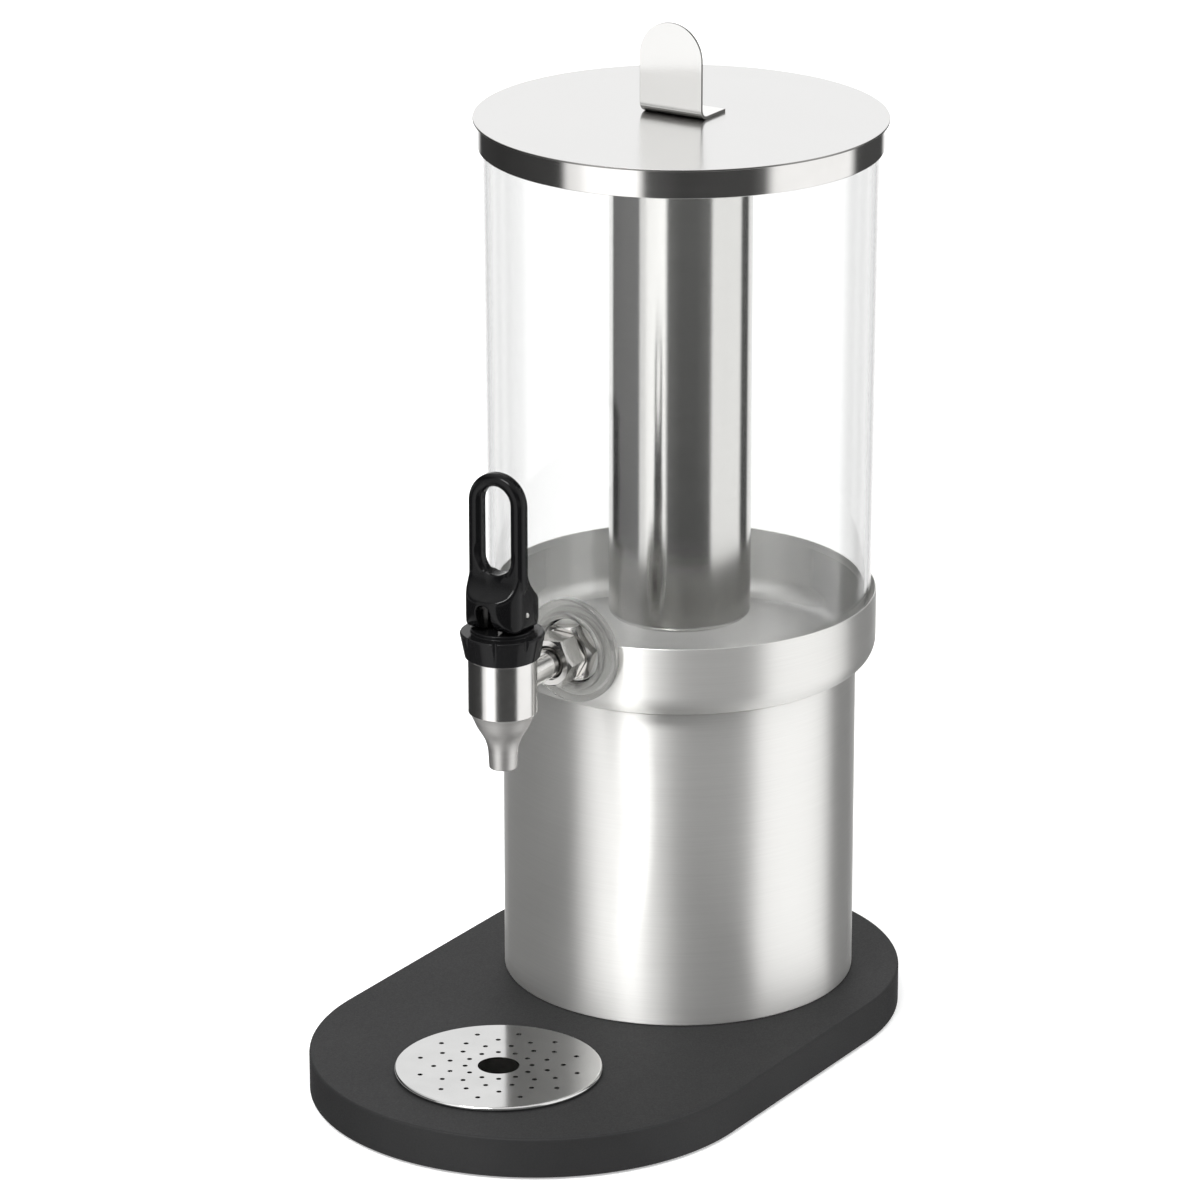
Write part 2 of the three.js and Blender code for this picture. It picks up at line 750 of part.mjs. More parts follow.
/** Helix round the Z axis between two heights. */
class Helix extends THREE.Curve {
  constructor(radius, z0, z1, count) {
    super();
    Object.assign(this, { radius, z0, z1, count });
  }

  getPoint(t, target = new THREE.Vector3()) {
    const [x, y] = around(this.radius, 360 * this.count * t);
    return target.set(x, y, this.z0 + (this.z1 - this.z0) * t);
  }
}

/** Spring between the collar of the stem and the ceiling of the bonnet. */
function makeSpring() {
  const foot = collarTop + runningGap + springWire;
  const head = bonnetInside - runningGap - springWire;
  const wire = new THREE.Shape(vectors(
    arc(0, 0, springWire / 2, 0, 360 - 360 / springWireSides, springWireSides - 1),
  ));
  const coil = new THREE.ExtrudeGeometry(wire, {
    steps: springTurns * springStepsPerTurn,
    extrudePath: new Helix(springMeanRadius, foot, head, springTurns),
    bevelEnabled: false,
  });
  return piece('stem_spring', solid(coil), finish.polished);
}

/** Side view of the lever foot about its pin: cam below, lip and scoop at the front. */
function leverSideOutline() {
  const outline = new THREE.Shape();
  const cam = Array.from({ length: camFacets + 1 }, (_, i) => {
    const tilt = ((Math.PI / 2) * i) / camFacets;
    const reach = camRest + camLift * tilt;
    return [
      -reach * Math.sin(tilt) - camLift * Math.cos(tilt),
      -reach * Math.cos(tilt) + camLift * Math.sin(tilt),
    ];
  });
  const front = -leverForward - loopThickness / 2;
  const back = -leverForward + loopThickness / 2;
  outline.moveTo(leverBackFoot, -camRest);
  cam.forEach(([y, z]) => outline.lineTo(y, z));
  outline.lineTo(-leverBaseRadius, leverLipRise);
  outline.quadraticCurveTo(front, leverLipRise, front, leverScoopRise);
  outline.lineTo(front, leverNeckRise);
  outline.lineTo(back, leverNeckRise);
  outline.quadraticCurveTo(back, leverLipRise, leverBaseRadius, leverBackRise);
  outline.lineTo(leverBaseRadius, -leverBackRise);
  return outline;
}

/** Outline of the finger hole about the pin, wider all round by a margin. */
function fingerHolePoints(margin) {
  const half = loopHoleWidth / 2 + margin;
  return vectors([
    ...arc(0, leverHeight - loopTop + margin - half, half, 0, 180, loopFacets),
    ...arc(0, loopHoleFoot - margin + half, half, 180, 360, loopFacets),
  ]);
}

/** Front view of the loop about the pin, with its finger hole. */
function loopOutline() {
  const half = loopWidth / 2 - loopRound;
  const top = leverHeight - loopRound;
  const foot = leverLipRise + loopRound;
  const outline = new THREE.Shape(vectors([
    [-half, foot],
    [half, foot],
    ...arc(0, top - half, half, 0, 180, loopFacets),
  ]));
  outline.holes.push(new THREE.Path(fingerHolePoints(loopRound)));
  return outline;
}

/** Lever: a finger loop on a round forked foot whose underside is the cam. */
function makeLever() {
  const loop = solid(new THREE.ExtrudeGeometry(loopOutline(), {
    depth: loopThickness - 2 * loopRound,
    bevelThickness: loopRound,
    bevelSize: loopRound,
    bevelSegments: loopRoundFacets,
    curveSegments: 1,
  }).rotateX(Math.PI / 2).translate(0, loopThickness / 2 - loopRound - leverForward, 0));
  const side = leverBaseWidth / 2;
  const foot = rod(leverBaseRadius, -pinAboveDisc, leverNeckRise, tapFacets)
    .intersect(seenFromSide(leverSideOutline(), -side, side));
  const forkOutline = new THREE.Shape(vectors([
    [-forkWidth / 2, -pinAboveDisc],
    [forkWidth / 2, -pinAboveDisc],
    ...arc(0, forkRise - forkWidth / 2, forkWidth / 2, 0, 180, loopFacets),
  ]));
  const fork = seenFromFront(forkOutline, -forkBack, leverBaseRadius + cutOver);
  const finger = seenFromFront(
    new THREE.Shape(fingerHolePoints(0)), -leverBaseRadius - cutOver, leverBaseRadius + cutOver,
  );
  const hole = crossRod(pinRadius + pinPlay, -loopWidth, loopWidth, smallFacets);
  return piece('lever', cut(join(loop, foot), finger, fork, hole), finish.black,
    [0, 0, pinHeight]);
}

/** Pin that the lever turns on, through the eye of the stem. */
function makePin() {
  const half = leverBaseWidth / 2 - pinSunk;
  return piece('lever_pin', crossRod(pinRadius, -half, half, smallFacets), finish.polished,
    [0, 0, pinHeight]);
}

/** Lid: a flat disc over the mouth of the container, with a skirt round it. */
function makeLid() {
  const foot = lidUnderside - skirtHeight;
  const inner = skirtRadius - sheet;
  const disc = rod(lidRadius, lidUnderside, lidTop, columnFacets);
  const skirt = turned([
    [inner, foot], [skirtRadius, foot], [skirtRadius, lidUnderside], [inner, lidUnderside],
  ], columnFacets);
  return [piece('lid_disc', disc, finish.brushed), piece('lid_skirt', skirt, finish.polished)];
}

/** Tab: a leaf with a round top, bent at its foot to lie on the lid. */
function makeTab() {
  const half = tabWidth / 2;
  const inner = tabBend - tabSheet;
  const angle = new THREE.Shape(vectors([
    [-tabForward + tabFoot, 0],
    [-tabForward + tabFoot, tabSheet],
    ...arc(-tabForward + tabBend, tabBend, inner, 270, 180, filletFacets),
    [-tabForward + tabSheet, tabHeight],
    [-tabForward, tabHeight],
    ...arc(-tabForward + tabBend, tabBend, tabBend, 180, 270, filletFacets),
  ]));
  const face = new THREE.Shape(vectors([
    [-half, 0],
    [half, 0],
    ...arc(0, tabHeight - half, half, 0, 180, tabFacets),
  ]));
  const bent = seenFromSide(angle, -half, half);
  const outline = seenFromFront(face, -tabFoot, tabFoot);
  return piece('lid_tab', bent.intersect(outline), finish.brushed, [tabAside, 0, lidTop]);
}

/** Ice tube: closed and rounded at its foot, with lugs round its mouth. */
function makeIceTube() {
  const top = lidUnderside - tubeTopBelowLid;
  const bottom = top - tubeLength;
  const inner = tubeRadius - sheet;
  const centre = tubeRadius - tubeCorner;
  const tube = turned([
    [0, bottom],
    ...arc(centre, bottom + tubeCorner, tubeCorner, 270, 360, cornerFacets),
    [tubeRadius, top],
    [inner, top],
    ...arc(centre, bottom + tubeCorner, tubeCorner - sheet, 360, 270, cornerFacets),
    [0, bottom + sheet],
  ], trayFacets);
  const lugTop = top - lugBelowTop;
  const lugs = turns(lugCount).map((angle) => ringPart(
    tubeRadius - sheet / 2, tubeRadius + lugProud, angle - lugAngle / 2, angle + lugAngle / 2,
    lugTop - lugHeight, lugTop,
  ));
  return piece('ice_tube', join(tube, ...lugs), finish.brushed);
}

/** Bayonet holder of the ice tube: a ring under the lid with an L-shaped track for each lug. */
function makeTubeHolder() {
  const bore = tubeRadius + holderPlay;
  const bottom = lidUnderside - holderHeight;
  const trackTop = lidUnderside - tubeTopBelowLid - lugBelowTop + runningGap;
  const trackBottom = trackTop - lugHeight - 2 * runningGap;
  const trackRadius = tubeRadius + lugProud + holderPlay;
  const reach = lugAngle / 2 + lugAnglePlay;
  const under = bore - holderPlay;
  const ring = turned([
    [bore, bottom], [bore + holderWall, bottom],
    [bore + holderWall, lidUnderside], [bore, lidUnderside],
  ], trayFacets);
  const tracks = turns(lugCount).flatMap((angle) => [
    ringPart(under, trackRadius, angle - reach, angle + bayonetTurn + reach,
      trackBottom, trackTop),
    ringPart(under, trackRadius, angle + bayonetTurn - reach, angle + bayonetTurn + reach,
      bottom - cutOver, trackTop),
  ]);
  return piece('tube_holder', cut(ring, ...tracks), finish.polished);
}

/** Cup of the drip tray, hung in the board by its flange. */
function makeDripCup() {
  const outer = cupRecessRadius - runningGap;
  const flangeBottom = boardTop + runningGap;
  const flangeTop = flangeBottom + sheet;
  const bottom = boardTop - cupDepth;
  const cup = turned([
    [0, bottom],
    [outer, bottom],
    [outer, flangeBottom],
    [cupRecessRadius + cupFlangeWidth, flangeBottom],
    [cupRecessRadius + cupFlangeWidth, flangeTop],
    [outer - sheet, flangeTop],
    [outer - sheet, bottom + sheet],
    [0, bottom + sheet],
  ], trayFacets);
  return piece('drip_cup', cup, finish.brushed);
}

/** Grille of the drip tray: a plate with a turned-down rim, a finger hole and drip holes. */
function makeDripGrille() {
  const under = boardTop + runningGap + sheet + runningGap;
  const top = under + sheet;
  const rim = grilleRadius - sheet;
  const plate = turned([
    [0, under],
    [rim, under],
    [rim, boardTop + runningGap],
    [grilleRadius, boardTop + runningGap],
    [grilleRadius, top],
    [0, top],
  ], trayFacets);
  const fingerHole = rod(fingerHoleRadius, under - cutOver, top + cutOver, smallFacets);
  const dripHole = rod(dripHoleRadius, under - cutOver, top + cutOver, holeFacets);
  const pitch = 360 / dripHolesPerRing;
  const dripHoles = dripRingShares.flatMap((share, ring) =>
    turns(dripHolesPerRing, dripPhase + (ring % 2) * (pitch / 2)).map((angle) => {
      const [x, y] = around(share * grilleRadius, angle);
      return dripHole.translate(x, y, 0);
    }));
  return piece('drip_grille', cut(plate, fingerHole, ...dripHoles), finish.polished);
}

const dispenser = new THREE.Group();
dispenser.name = 'juice_dispenser';
dispenser.add(
  makeBoard(),
  ...makeFeet(),
  group([0, columnY, 0], makeColumn(), ...makeFasteners(), makeDish(), makeContainer()),
  group([0, columnY, outletZ], makeBossRing(), ...makeTapFixings(), makeTapShank()),
  group(
    [0, columnY - tapReach, outletZ],
    makeTapBody(), makeTapSpout(), makeBonnet(), makeSpring(), makeStem(), makeSeatCup(),
    makeLever(), makePin(),
  ),
  group([0, columnY, 0], ...makeLid(), makeTab(), makeTubeHolder(), makeIceTube()),
  group([0, columnY - dripReach, 0], makeDripCup(), makeDripGrille()),
);

export default dispenser;
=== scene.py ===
"""Looks of a table-top juice dispenser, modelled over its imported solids.

Sizes are in millimetres in the fields and in metres in the scene. +Z is up, the tap points to -Y
and the origin is on the table under the middle of the board.
"""

import logging
import math
from collections.abc import Callable, Iterator, Sequence
from contextlib import contextmanager
from dataclasses import dataclass
from enum import Enum
from functools import cache

import bpy
from mathutils import Matrix, Vector


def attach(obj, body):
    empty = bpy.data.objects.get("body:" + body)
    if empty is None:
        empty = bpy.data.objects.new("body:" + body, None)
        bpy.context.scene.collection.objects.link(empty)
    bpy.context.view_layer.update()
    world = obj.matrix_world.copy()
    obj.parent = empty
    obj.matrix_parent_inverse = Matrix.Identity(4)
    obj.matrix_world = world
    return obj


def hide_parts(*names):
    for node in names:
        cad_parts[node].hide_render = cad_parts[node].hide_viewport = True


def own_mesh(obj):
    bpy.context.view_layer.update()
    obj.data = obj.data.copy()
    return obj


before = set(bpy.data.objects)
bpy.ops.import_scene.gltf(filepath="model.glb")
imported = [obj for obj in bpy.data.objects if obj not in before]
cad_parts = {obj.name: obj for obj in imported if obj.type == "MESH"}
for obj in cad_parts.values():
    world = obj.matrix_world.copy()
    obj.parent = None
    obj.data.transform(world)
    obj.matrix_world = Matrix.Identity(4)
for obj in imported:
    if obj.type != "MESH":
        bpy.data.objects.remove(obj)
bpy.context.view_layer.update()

log = logging.getLogger("dispenser")
Point = tuple[float, float]
Triple = tuple[float, float, float]
Mesh = bpy.types.Object
Material = bpy.types.Material
Socket = bpy.types.NodeSocket

# Metres in a millimetre, and the distance in metres within which corners are merged
MM = 0.001
WELD = 0.000002
# How far a tool runs past what it cuts, and past the middle of the tap
OVERRUN = 2.0
THROUGH = 20.0
# Steps in a full turn
FINE = 192
MEDIUM = 128
SMALL = 64
# Upright axes in plan, and the height of the level axis of the tap
COLUMN = (0.0, 65.0)
TAP = (0.0, -93.5)
TRAY = (0.0, -99.2)
OUTLET = 214.0


class View(Enum):
    """The way that a drawn outline faces."""

    PLAN = "from above"
    FRONT = "from the front"
    SIDE = "from the right-hand side"

    def lay(self, across: float, up: float, depth: float) -> Vector:
        """Gives the place of a drawn point.

        Args:
            across: First number of the point, in millimetres.
            up: Second number of the point, in millimetres.
            depth: Distance along the direction of view, in millimetres.

        Returns:
            The place in the scene, in metres.
        """
        if self is View.PLAN:
            return Vector((across, up, depth)) * MM
        if self is View.FRONT:
            return Vector((across, depth, up)) * MM
        return Vector((depth, across, up)) * MM


class Join(Enum):
    """What a tool does to the piece that it meets."""

    CUT = "DIFFERENCE"
    ADD = "UNION"
    COMMON = "INTERSECT"


def choose(*pieces: Mesh) -> None:
    """Selects these pieces alone, the first of them active."""
    if bpy.context.mode != "OBJECT":
        bpy.ops.object.mode_set(mode="OBJECT")
    bpy.ops.object.select_all(action="DESELECT")
    for piece in pieces:
        piece.select_set(True)
    if pieces:
        bpy.context.view_layer.objects.active = pieces[0]


@contextmanager
def editing(piece: Mesh) -> Iterator[None]:
    """Opens a piece in edit mode with all its corners selected."""
    choose(piece)
    bpy.ops.object.mode_set(mode="EDIT")
    bpy.ops.mesh.select_mode(type="VERT")
    bpy.ops.mesh.select_all(action="SELECT")
    yield
    bpy.ops.object.mode_set(mode="OBJECT")


def bend(across: float, up: float, radius: float, start: float, end: float,
         steps: int) -> list[Point]:
    """Points along an arc, both ends included.

    Args:
        across: First number of the centre.
        up: Second number of the centre.
        radius: Radius of the arc.
        start: First angle in degrees.
        end: Last angle in degrees.
        steps: Number of steps.

    Returns:
        The points in order.
    """
    angles = [math.radians(start + (end - start) * i / steps) for i in range(steps + 1)]
    return [(across + radius * math.cos(a), up + radius * math.sin(a)) for a in angles]


def around(radius: float, angle: float, centre: Point = (0.0, 0.0)) -> Point:
    """Place on a circle at an angle in degrees."""
    a = math.radians(angle)
    return centre[0] + radius * math.cos(a), centre[1] + radius * math.sin(a)


def fair(points: Sequence[Point], steps: int) -> list[Point]:
    """Runs a smooth curve through points.

    Args:
        points: The points that the curve passes.
        steps: Steps between two of them.

    Returns:
        Points along the curve, the last given point included.
    """
    ends = [points[0], *points, points[-1]]
    curve = []
    for before, here, there, after in zip(ends, ends[1:], ends[2:], ends[3:]):
        for i in range(steps):
            t = i / steps
            curve.append(tuple(
                0.5 * (2 * b + (c - a) * t + (2 * a - 5 * b + 4 * c - d) * t * t
                       + (3 * b - a - 3 * c + d) * t ** 3)
                for a, b, c, d in zip(before, here, there, after)))
    return [*curve, points[-1]]


def draw(name: str, points: Sequence[Point], view: View, depth: float,
         closed: bool = True) -> Mesh:
    """Draws a line of edges from point to point, beginning with one corner.

    Args:
        name: Name of the new piece.
        points: The points in millimetres.
        view: The way that the outline faces.
        depth: Where it lies along the direction of view.
        closed: Whether the line returns to its start.

    Returns:
        The line as a piece.
    """
    corners = [view.lay(*point, depth) for point in points]
    choose()
    bpy.ops.mesh.primitive_plane_add(size=MM, location=corners[0])
    piece = bpy.context.object
    piece.name = piece.data.name = name
    bpy.ops.object.transform_apply(location=True, rotation=True, scale=True)
    with editing(piece):
        bpy.ops.mesh.merge(type="CENTER")
        line = corners + corners[:1] if closed else corners
        for here, there in zip(line, line[1:]):
            bpy.ops.mesh.extrude_region_move(TRANSFORM_OT_translate={"value": there - here})
        bpy.ops.mesh.select_all(action="SELECT")
        bpy.ops.mesh.remove_doubles(threshold=WELD)
    return piece


def prism(name: str, points: Sequence[Point], view: View, start: float, end: float) -> Mesh:
    """Fills a drawn outline and pulls it to a thickness.

    Args:
        name: Name of the new piece.
        points: Outline in millimetres.
        view: The way that the outline faces.
        start: Where it begins along the direction of view.
        end: Where it ends.

    Returns:
        The closed prism.
    """
    piece = draw(name, points, view, start)
    with editing(piece):
        bpy.ops.mesh.edge_face_add()
        bpy.ops.mesh.extrude_region_move(
            TRANSFORM_OT_translate={"value": view.lay(0, 0, end - start)})
        bpy.ops.mesh.select_all(action="SELECT")
        bpy.ops.mesh.normals_make_consistent(inside=False)
    return piece


def spin(piece: Mesh, centre: Triple, axis: Triple, steps: int) -> Mesh:
    """Turns a drawn line once round an axis and closes the skin.

    Args:
        piece: The drawn line.
        centre: A point on the axis, in millimetres.
        axis: Direction of the axis.
        steps: Steps in the full turn.

    Returns:
        The same piece.
    """
    with editing(piece):
        bpy.ops.mesh.spin(steps=steps, angle=math.tau, center=Vector(centre) * MM, axis=axis)
        bpy.ops.mesh.select_all(action="SELECT")
        bpy.ops.mesh.remove_doubles(threshold=WELD)
        bpy.ops.mesh.normals_make_consistent(inside=False)
    return piece


def turned(name: str, outline: Sequence[Point], place: Point = (0.0, 0.0),
           steps: int = FINE) -> Mesh:
    """Turns an outline about an upright axis.

    Args:
        name: Name of the new piece.
        outline: Points of radius and height. One that starts off the axis is closed.
        place: Where the axis stands.
        steps: Steps in the full turn.

    Returns:
        The turned piece.
    """
    points = [(place[0] + radius, height) for radius, height in outline]
    line = draw(name, points, View.FRONT, place[1], closed=outline[0][0] > 0)
    return spin(line, (*place, 0), (0, 0, 1), steps)


def turned_forward(name: str, outline: Sequence[Point], steps: int = MEDIUM) -> Mesh:
    """Turns an outline about the level axis of the tap.

    Args:
        name: Name of the new piece.
        outline: Points of radius and place along Y. One that starts off the axis is closed.
        steps: Steps in the full turn.

    Returns:
        The turned piece.
    """
    line = draw(name, outline, View.PLAN, OUTLET, closed=outline[0][0] > 0)
    return spin(line, (0, 0, OUTLET), (0, 1, 0), steps)


def turned_across(name: str, outline: Sequence[Point], place: Point, steps: int = SMALL) -> Mesh:
    """Turns an outline about a level axis that runs from side to side.

    Args:
        name: Name of the new piece.
        outline: Points of place along X and radius. One that starts off the axis is closed.
        place: Where the axis passes, as Y and Z.
        steps: Steps in the full turn.

    Returns:
        The turned piece.
    """
    points = [(x, place[1] + radius) for x, radius in outline]
    line = draw(name, points, View.FRONT, place[0], closed=outline[0][1] > 0)
    return spin(line, (0, *place), (1, 0, 0), steps)


def block(radius: float, start: float, end: float) -> list[Point]:
    """Outline of a plain round tool between two places on its axis."""
    return [(0, start), (radius, start), (radius, end), (0, end)]


def carve(piece: Mesh, *tools: Mesh, how: Join = Join.CUT) -> Mesh:
    """Applies tools to a piece one by one and throws them away.

    Args:
        piece: The piece to change.
        tools: What is cut away, added or kept in common.
        how: Which of these it is.

    Returns:
        The same piece.
    """
    for tool in tools:
        modifier = piece.modifiers.new("carve", "BOOLEAN")
        modifier.operation, modifier.object, modifier.solver = how.value, tool, "EXACT"
        choose(piece)
        bpy.ops.object.modifier_apply(modifier=modifier.name)
        bpy.data.objects.remove(tool, do_unlink=True)
    return piece


def ease(piece: Mesh, width: float, angle: float, segments: int = 2) -> None:
    """Rounds the edges of a piece that turn by more than an angle.

    Args:
        piece: The piece to change.
        width: Width of the rounding in millimetres.
        angle: Smallest turn that is rounded, in degrees.
        segments: Faces across the rounding.
    """
    modifier = piece.modifiers.new("ease", "BEVEL")
    modifier.width, modifier.segments = width * MM, segments
    modifier.limit_method, modifier.angle_limit = "ANGLE", math.radians(angle)
    choose(piece)
    bpy.ops.object.modifier_apply(modifier=modifier.name)


def copies(piece: Mesh, places: Sequence[Point]) -> Mesh:
    """Repeats a tool at places in plan and joins the copies.

    Args:
        piece: The first tool, standing on the origin.
        places: Where the copies go, in millimetres.

    Returns:
        The joined tool.
    """
    made = []
    for x, y in places:
        choose(piece)
        bpy.ops.object.duplicate()
        bpy.ops.transform.translate(value=(x * MM, y * MM, 0))
        bpy.ops.object.transform_apply(location=True, rotation=False, scale=False)
        made.append(bpy.context.object)
    bpy.data.objects.remove(piece, do_unlink=True)
    choose(*made)
    bpy.ops.object.join()
    return bpy.context.object


# Finishes


class Tree:
    """A node tree while it is put together."""

    def __init__(self, owner: Material | bpy.types.World) -> None:
        """Opens the tree of a material or of the world.

        Args:
            owner: Whose tree it is.
        """
        owner.use_nodes = True
        self.nodes, self.links = owner.node_tree.nodes, owner.node_tree.links

    def feed(self, socket: Socket, value: object) -> None:
        """Gives an input a constant, or a link from another node's output."""
        if isinstance(value, Socket):
            self.links.new(value, socket)
        else:
            socket.default_value = value

    def add(self, kind: str, *inputs: object, **fields: object) -> bpy.types.Node:
        """Adds a node.

        Args:
            kind: Its type, without the first word that all share.
            inputs: Constants or links for its inputs, in their order.
            fields: Properties, and inputs by their name with _ for a space.

        Returns:
            The node.
        """
        node = self.nodes.new(f"ShaderNode{kind}")
        for name, value in fields.items():
            socket = next((s for s in node.inputs if s.name == name.replace("_", " ")), None)
            if socket is None:
                setattr(node, name, value)
            else:
                self.feed(socket, value)
        for socket, value in zip(node.inputs, inputs):
            self.feed(socket, value)
        return node

    def maths(self, kind: str, *values: object) -> Socket:
        """Reckons with numbers or sockets."""
        return self.add("Math", *values, operation=kind).outputs[0]

    def mixed(self, share: Socket, first: object, second: object) -> Socket:
        """Mixes two colours by a share from 0 to 1."""
        node = self.add("Mix", data_type="RGBA", Factor=share)
        self.feed(node.inputs[6], first)
        self.feed(node.inputs[7], second)
        return node.outputs[2]

    def between(self, value: Socket, low: float = 0.0, high: float = 1.0,
                start: float = 0.3, end: float = 0.7, smooth: bool = False) -> Socket:
        """Maps a value from one range to another.

        Args:
            value: The value.
            low: What its start becomes.
            high: What its end becomes.
            start: Where its range begins.
            end: Where its range ends.
            smooth: Whether the ends run out softly.

        Returns:
            The mapped value.
        """
        node = self.add("MapRange", value, start, end, low, high,
                        interpolation_type="SMOOTHSTEP" if smooth else "LINEAR")
        return node.outputs["Result"]


class Coat(Tree):
    """The tree of one material."""

    def __init__(self, name: str) -> None:
        """Starts a material with its Principled shader.

        Args:
            name: Name of the material.
        """
        self.material = bpy.data.materials.new(name)
        super().__init__(self.material)
        self.shader = self.nodes["Principled BSDF"]

    def place(self, scale: float | Triple) -> Socket:
        """Object coordinates, scaled to repeats in a metre, all alike or along X, Y and Z."""
        where = self.add("TexCoord").outputs["Object"]
        scales = scale if isinstance(scale, tuple) else (scale, scale, scale)
        return self.add("Mapping", Vector=where, Scale=scales).outputs["Vector"]

    def grain(self, scale: float | Triple, detail: float = 3.0, roughness: float = 0.6) -> Socket:
        """Noise of a stretched scale.

        Args:
            scale: Repeats in a metre, all alike or along X, Y and Z.
            detail: Octaves of the noise.
            roughness: Weight of the finer octaves.

        Returns:
            The value socket.
        """
        noise = self.add("TexNoise", Vector=self.place(scale), Scale=1.0, Detail=detail,
                         Roughness=roughness)
        return noise.outputs["Fac"]

    def tint(self, value: Socket, dark: Triple, light: Triple) -> None:
        """Colours the surface between two tones by a value from 0 to 1."""
        self.set(Base_Color=self.mixed(value, (*dark, 1), (*light, 1)))

    def relief(self, *layers: tuple[Socket, float, float]) -> None:
        """Stacks bumps, but for those without depth.

        Args:
            layers: For each bump its height, its strength and its depth in metres.
        """
        below = {}
        for height, strength, depth in layers:
            if depth > 0:
                bump = self.add("Bump", Height=height, Strength=strength, Distance=depth, **below)
                below = {"Normal": bump.outputs["Normal"]}
        self.set(**below)

    def set(self, **sockets: object) -> None:
        """Feeds the shader, its inputs named with _ for a space."""
        for name, value in sockets.items():
            self.feed(self.shader.inputs[name.replace("_", " ")], value)


class Grain(Enum):
    """Direction of the brushing on a sheet, as repeats in a metre along X, Y and Z."""

    ROUND = (26.0, 26.0, 2400.0)
    ALONG_X = (22.0, 2400.0, 2400.0)


@dataclass(frozen=True)
class BrushedSteel:
    """Stainless sheet with fine brushing, round an upright axis or along the sheet."""

    name: str
    dark: Triple
    light: Triple
    roughness: float = 0.45
    spread: float = 0.03
    grain: Grain = Grain.ROUND
    axis: Point | None = COLUMN
    stretch: float = 0.95
    sheen: float = 0.0
    depth: float = 0.000004

    def make(self) -> Material:
        """Builds the material."""
        coat = Coat(self.name)
        lines = coat.grain(self.grain.value)
        clouds = coat.between(coat.grain(9.0, 2.0), self.roughness - self.spread / 2,
                              self.roughness + self.spread / 2)
        coat.tint(coat.between(lines), self.dark, self.light)
        coat.set(Metallic=1.0 - self.sheen, Specular_IOR_Level=0.2, Roughness=coat.maths(
            "ADD", coat.between(lines, -self.spread, self.spread), clouds))
        if self.axis:
            self.run_round(coat)
        coat.relief((lines, 0.35, self.depth))
        return coat.material

    def run_round(self, coat: Coat) -> None:
        """Points the tangent round the axis and stretches the highlights across it.

        Args:
            coat: The material's tree.
        """
        centre = (self.axis[0] * MM, self.axis[1] * MM, 0)
        where = coat.add("TexCoord").outputs["Object"]
        out = coat.add("VectorMath", where, centre, operation="SUBTRACT").outputs[0]
        tangent = coat.add("VectorMath", out, (0, 0, -1), operation="CROSS_PRODUCT").outputs[0]
        coat.set(Anisotropic=self.stretch, Anisotropic_Rotation=0.25, Tangent=tangent)


@dataclass(frozen=True)
class PolishedSteel:
    """Turned or pressed steel with a bright polish and faint polishing marks."""

    name: str
    roughness: float
    dark: Triple = (0.66, 0.65, 0.635)
    light: Triple = (0.72, 0.71, 0.695)
    marks: float | Triple = (60.0, 60.0, 1200.0)
    depth: float = 0.0000015

    def make(self) -> Material:
        """Builds the material."""
        coat = Coat(self.name)
        marks = coat.grain(self.marks, 4.0)
        coat.tint(coat.between(coat.grain(45.0, 2.0)), self.dark, self.light)
        coat.set(Metallic=1.0, Roughness=coat.between(
            marks, self.roughness * 0.9, self.roughness * 1.1))
        coat.relief((marks, 0.25, self.depth))
        return coat.material


@dataclass(frozen=True)
class ZincPlate:
    """Dull plating with a faint crystal pattern, as on screws and nuts."""

    name: str
    dark: Triple
    light: Triple
    crystals: float = 900.0

    def make(self) -> Material:
        """Builds the material."""
        coat = Coat(self.name)
        cells = coat.add("TexVoronoi", Vector=coat.place(1.0), Scale=self.crystals)
        distance = cells.outputs["Distance"]
        coat.tint(distance, self.dark, self.light)
        coat.set(Metallic=1.0, Roughness=coat.between(distance, 0.32, 0.46, 0.0, 0.8))
        return coat.material


@dataclass(frozen=True)
class BlackMoulding:
    """Glossy black plastic with the faint waviness of a moulded surface."""

    name: str
    colour: Triple
    roughness: float
    gloss: float = 0.15
    wave: float = 0.000015
    pores: float = 0.000006

    def make(self) -> Material:
        """Builds the material."""
        coat = Coat(self.name)
        wavy = coat.grain(160.0, 2.0, 0.4)
        fine = coat.grain(2600.0, 2.0)
        coat.tint(coat.between(fine), self.colour, tuple(1.5 * c for c in self.colour))
        coat.set(IOR=1.5, Specular_IOR_Level=self.gloss, Roughness=coat.between(
            wavy, self.roughness * 0.75, self.roughness * 1.35))
        coat.relief((wavy, 0.2, self.wave), (fine, 0.08, self.pores))
        return coat.material


@dataclass(frozen=True)
class MattLacquer:
    """Matt lacquer on fibreboard, with fine spray texture."""

    name: str
    dark: Triple
    light: Triple
    spray: float = 0.00004
    wave: float = 0.0002

    def make(self) -> Material:
        """Builds the material."""
        coat = Coat(self.name)
        spray = coat.grain(1500.0)
        clouds = coat.grain(14.0)
        coat.tint(coat.between(clouds), self.dark, self.light)
        coat.set(IOR=1.45, Specular_IOR_Level=0.35, Roughness=coat.between(spray, 0.55, 0.72))
        coat.relief((spray, 0.25, self.spray), (clouds, 0.1, self.wave))
        return coat.material


@dataclass(frozen=True)
class Rubber:
    """Soft matt material with a fine grain, black or milky."""

    name: str
    dark: Triple
    light: Triple
    roughness: float
    spread: float = 0.08
    depth: float = 0.00005

    def make(self) -> Material:
        """Builds the material."""
        coat = Coat(self.name)
        fine = coat.grain(1800.0)
        coat.tint(coat.between(fine), self.dark, self.light)
        coat.set(IOR=1.45, Roughness=coat.between(
            fine, self.roughness - self.spread, self.roughness + self.spread))
        coat.relief((fine, 0.3, self.depth))
        return coat.material


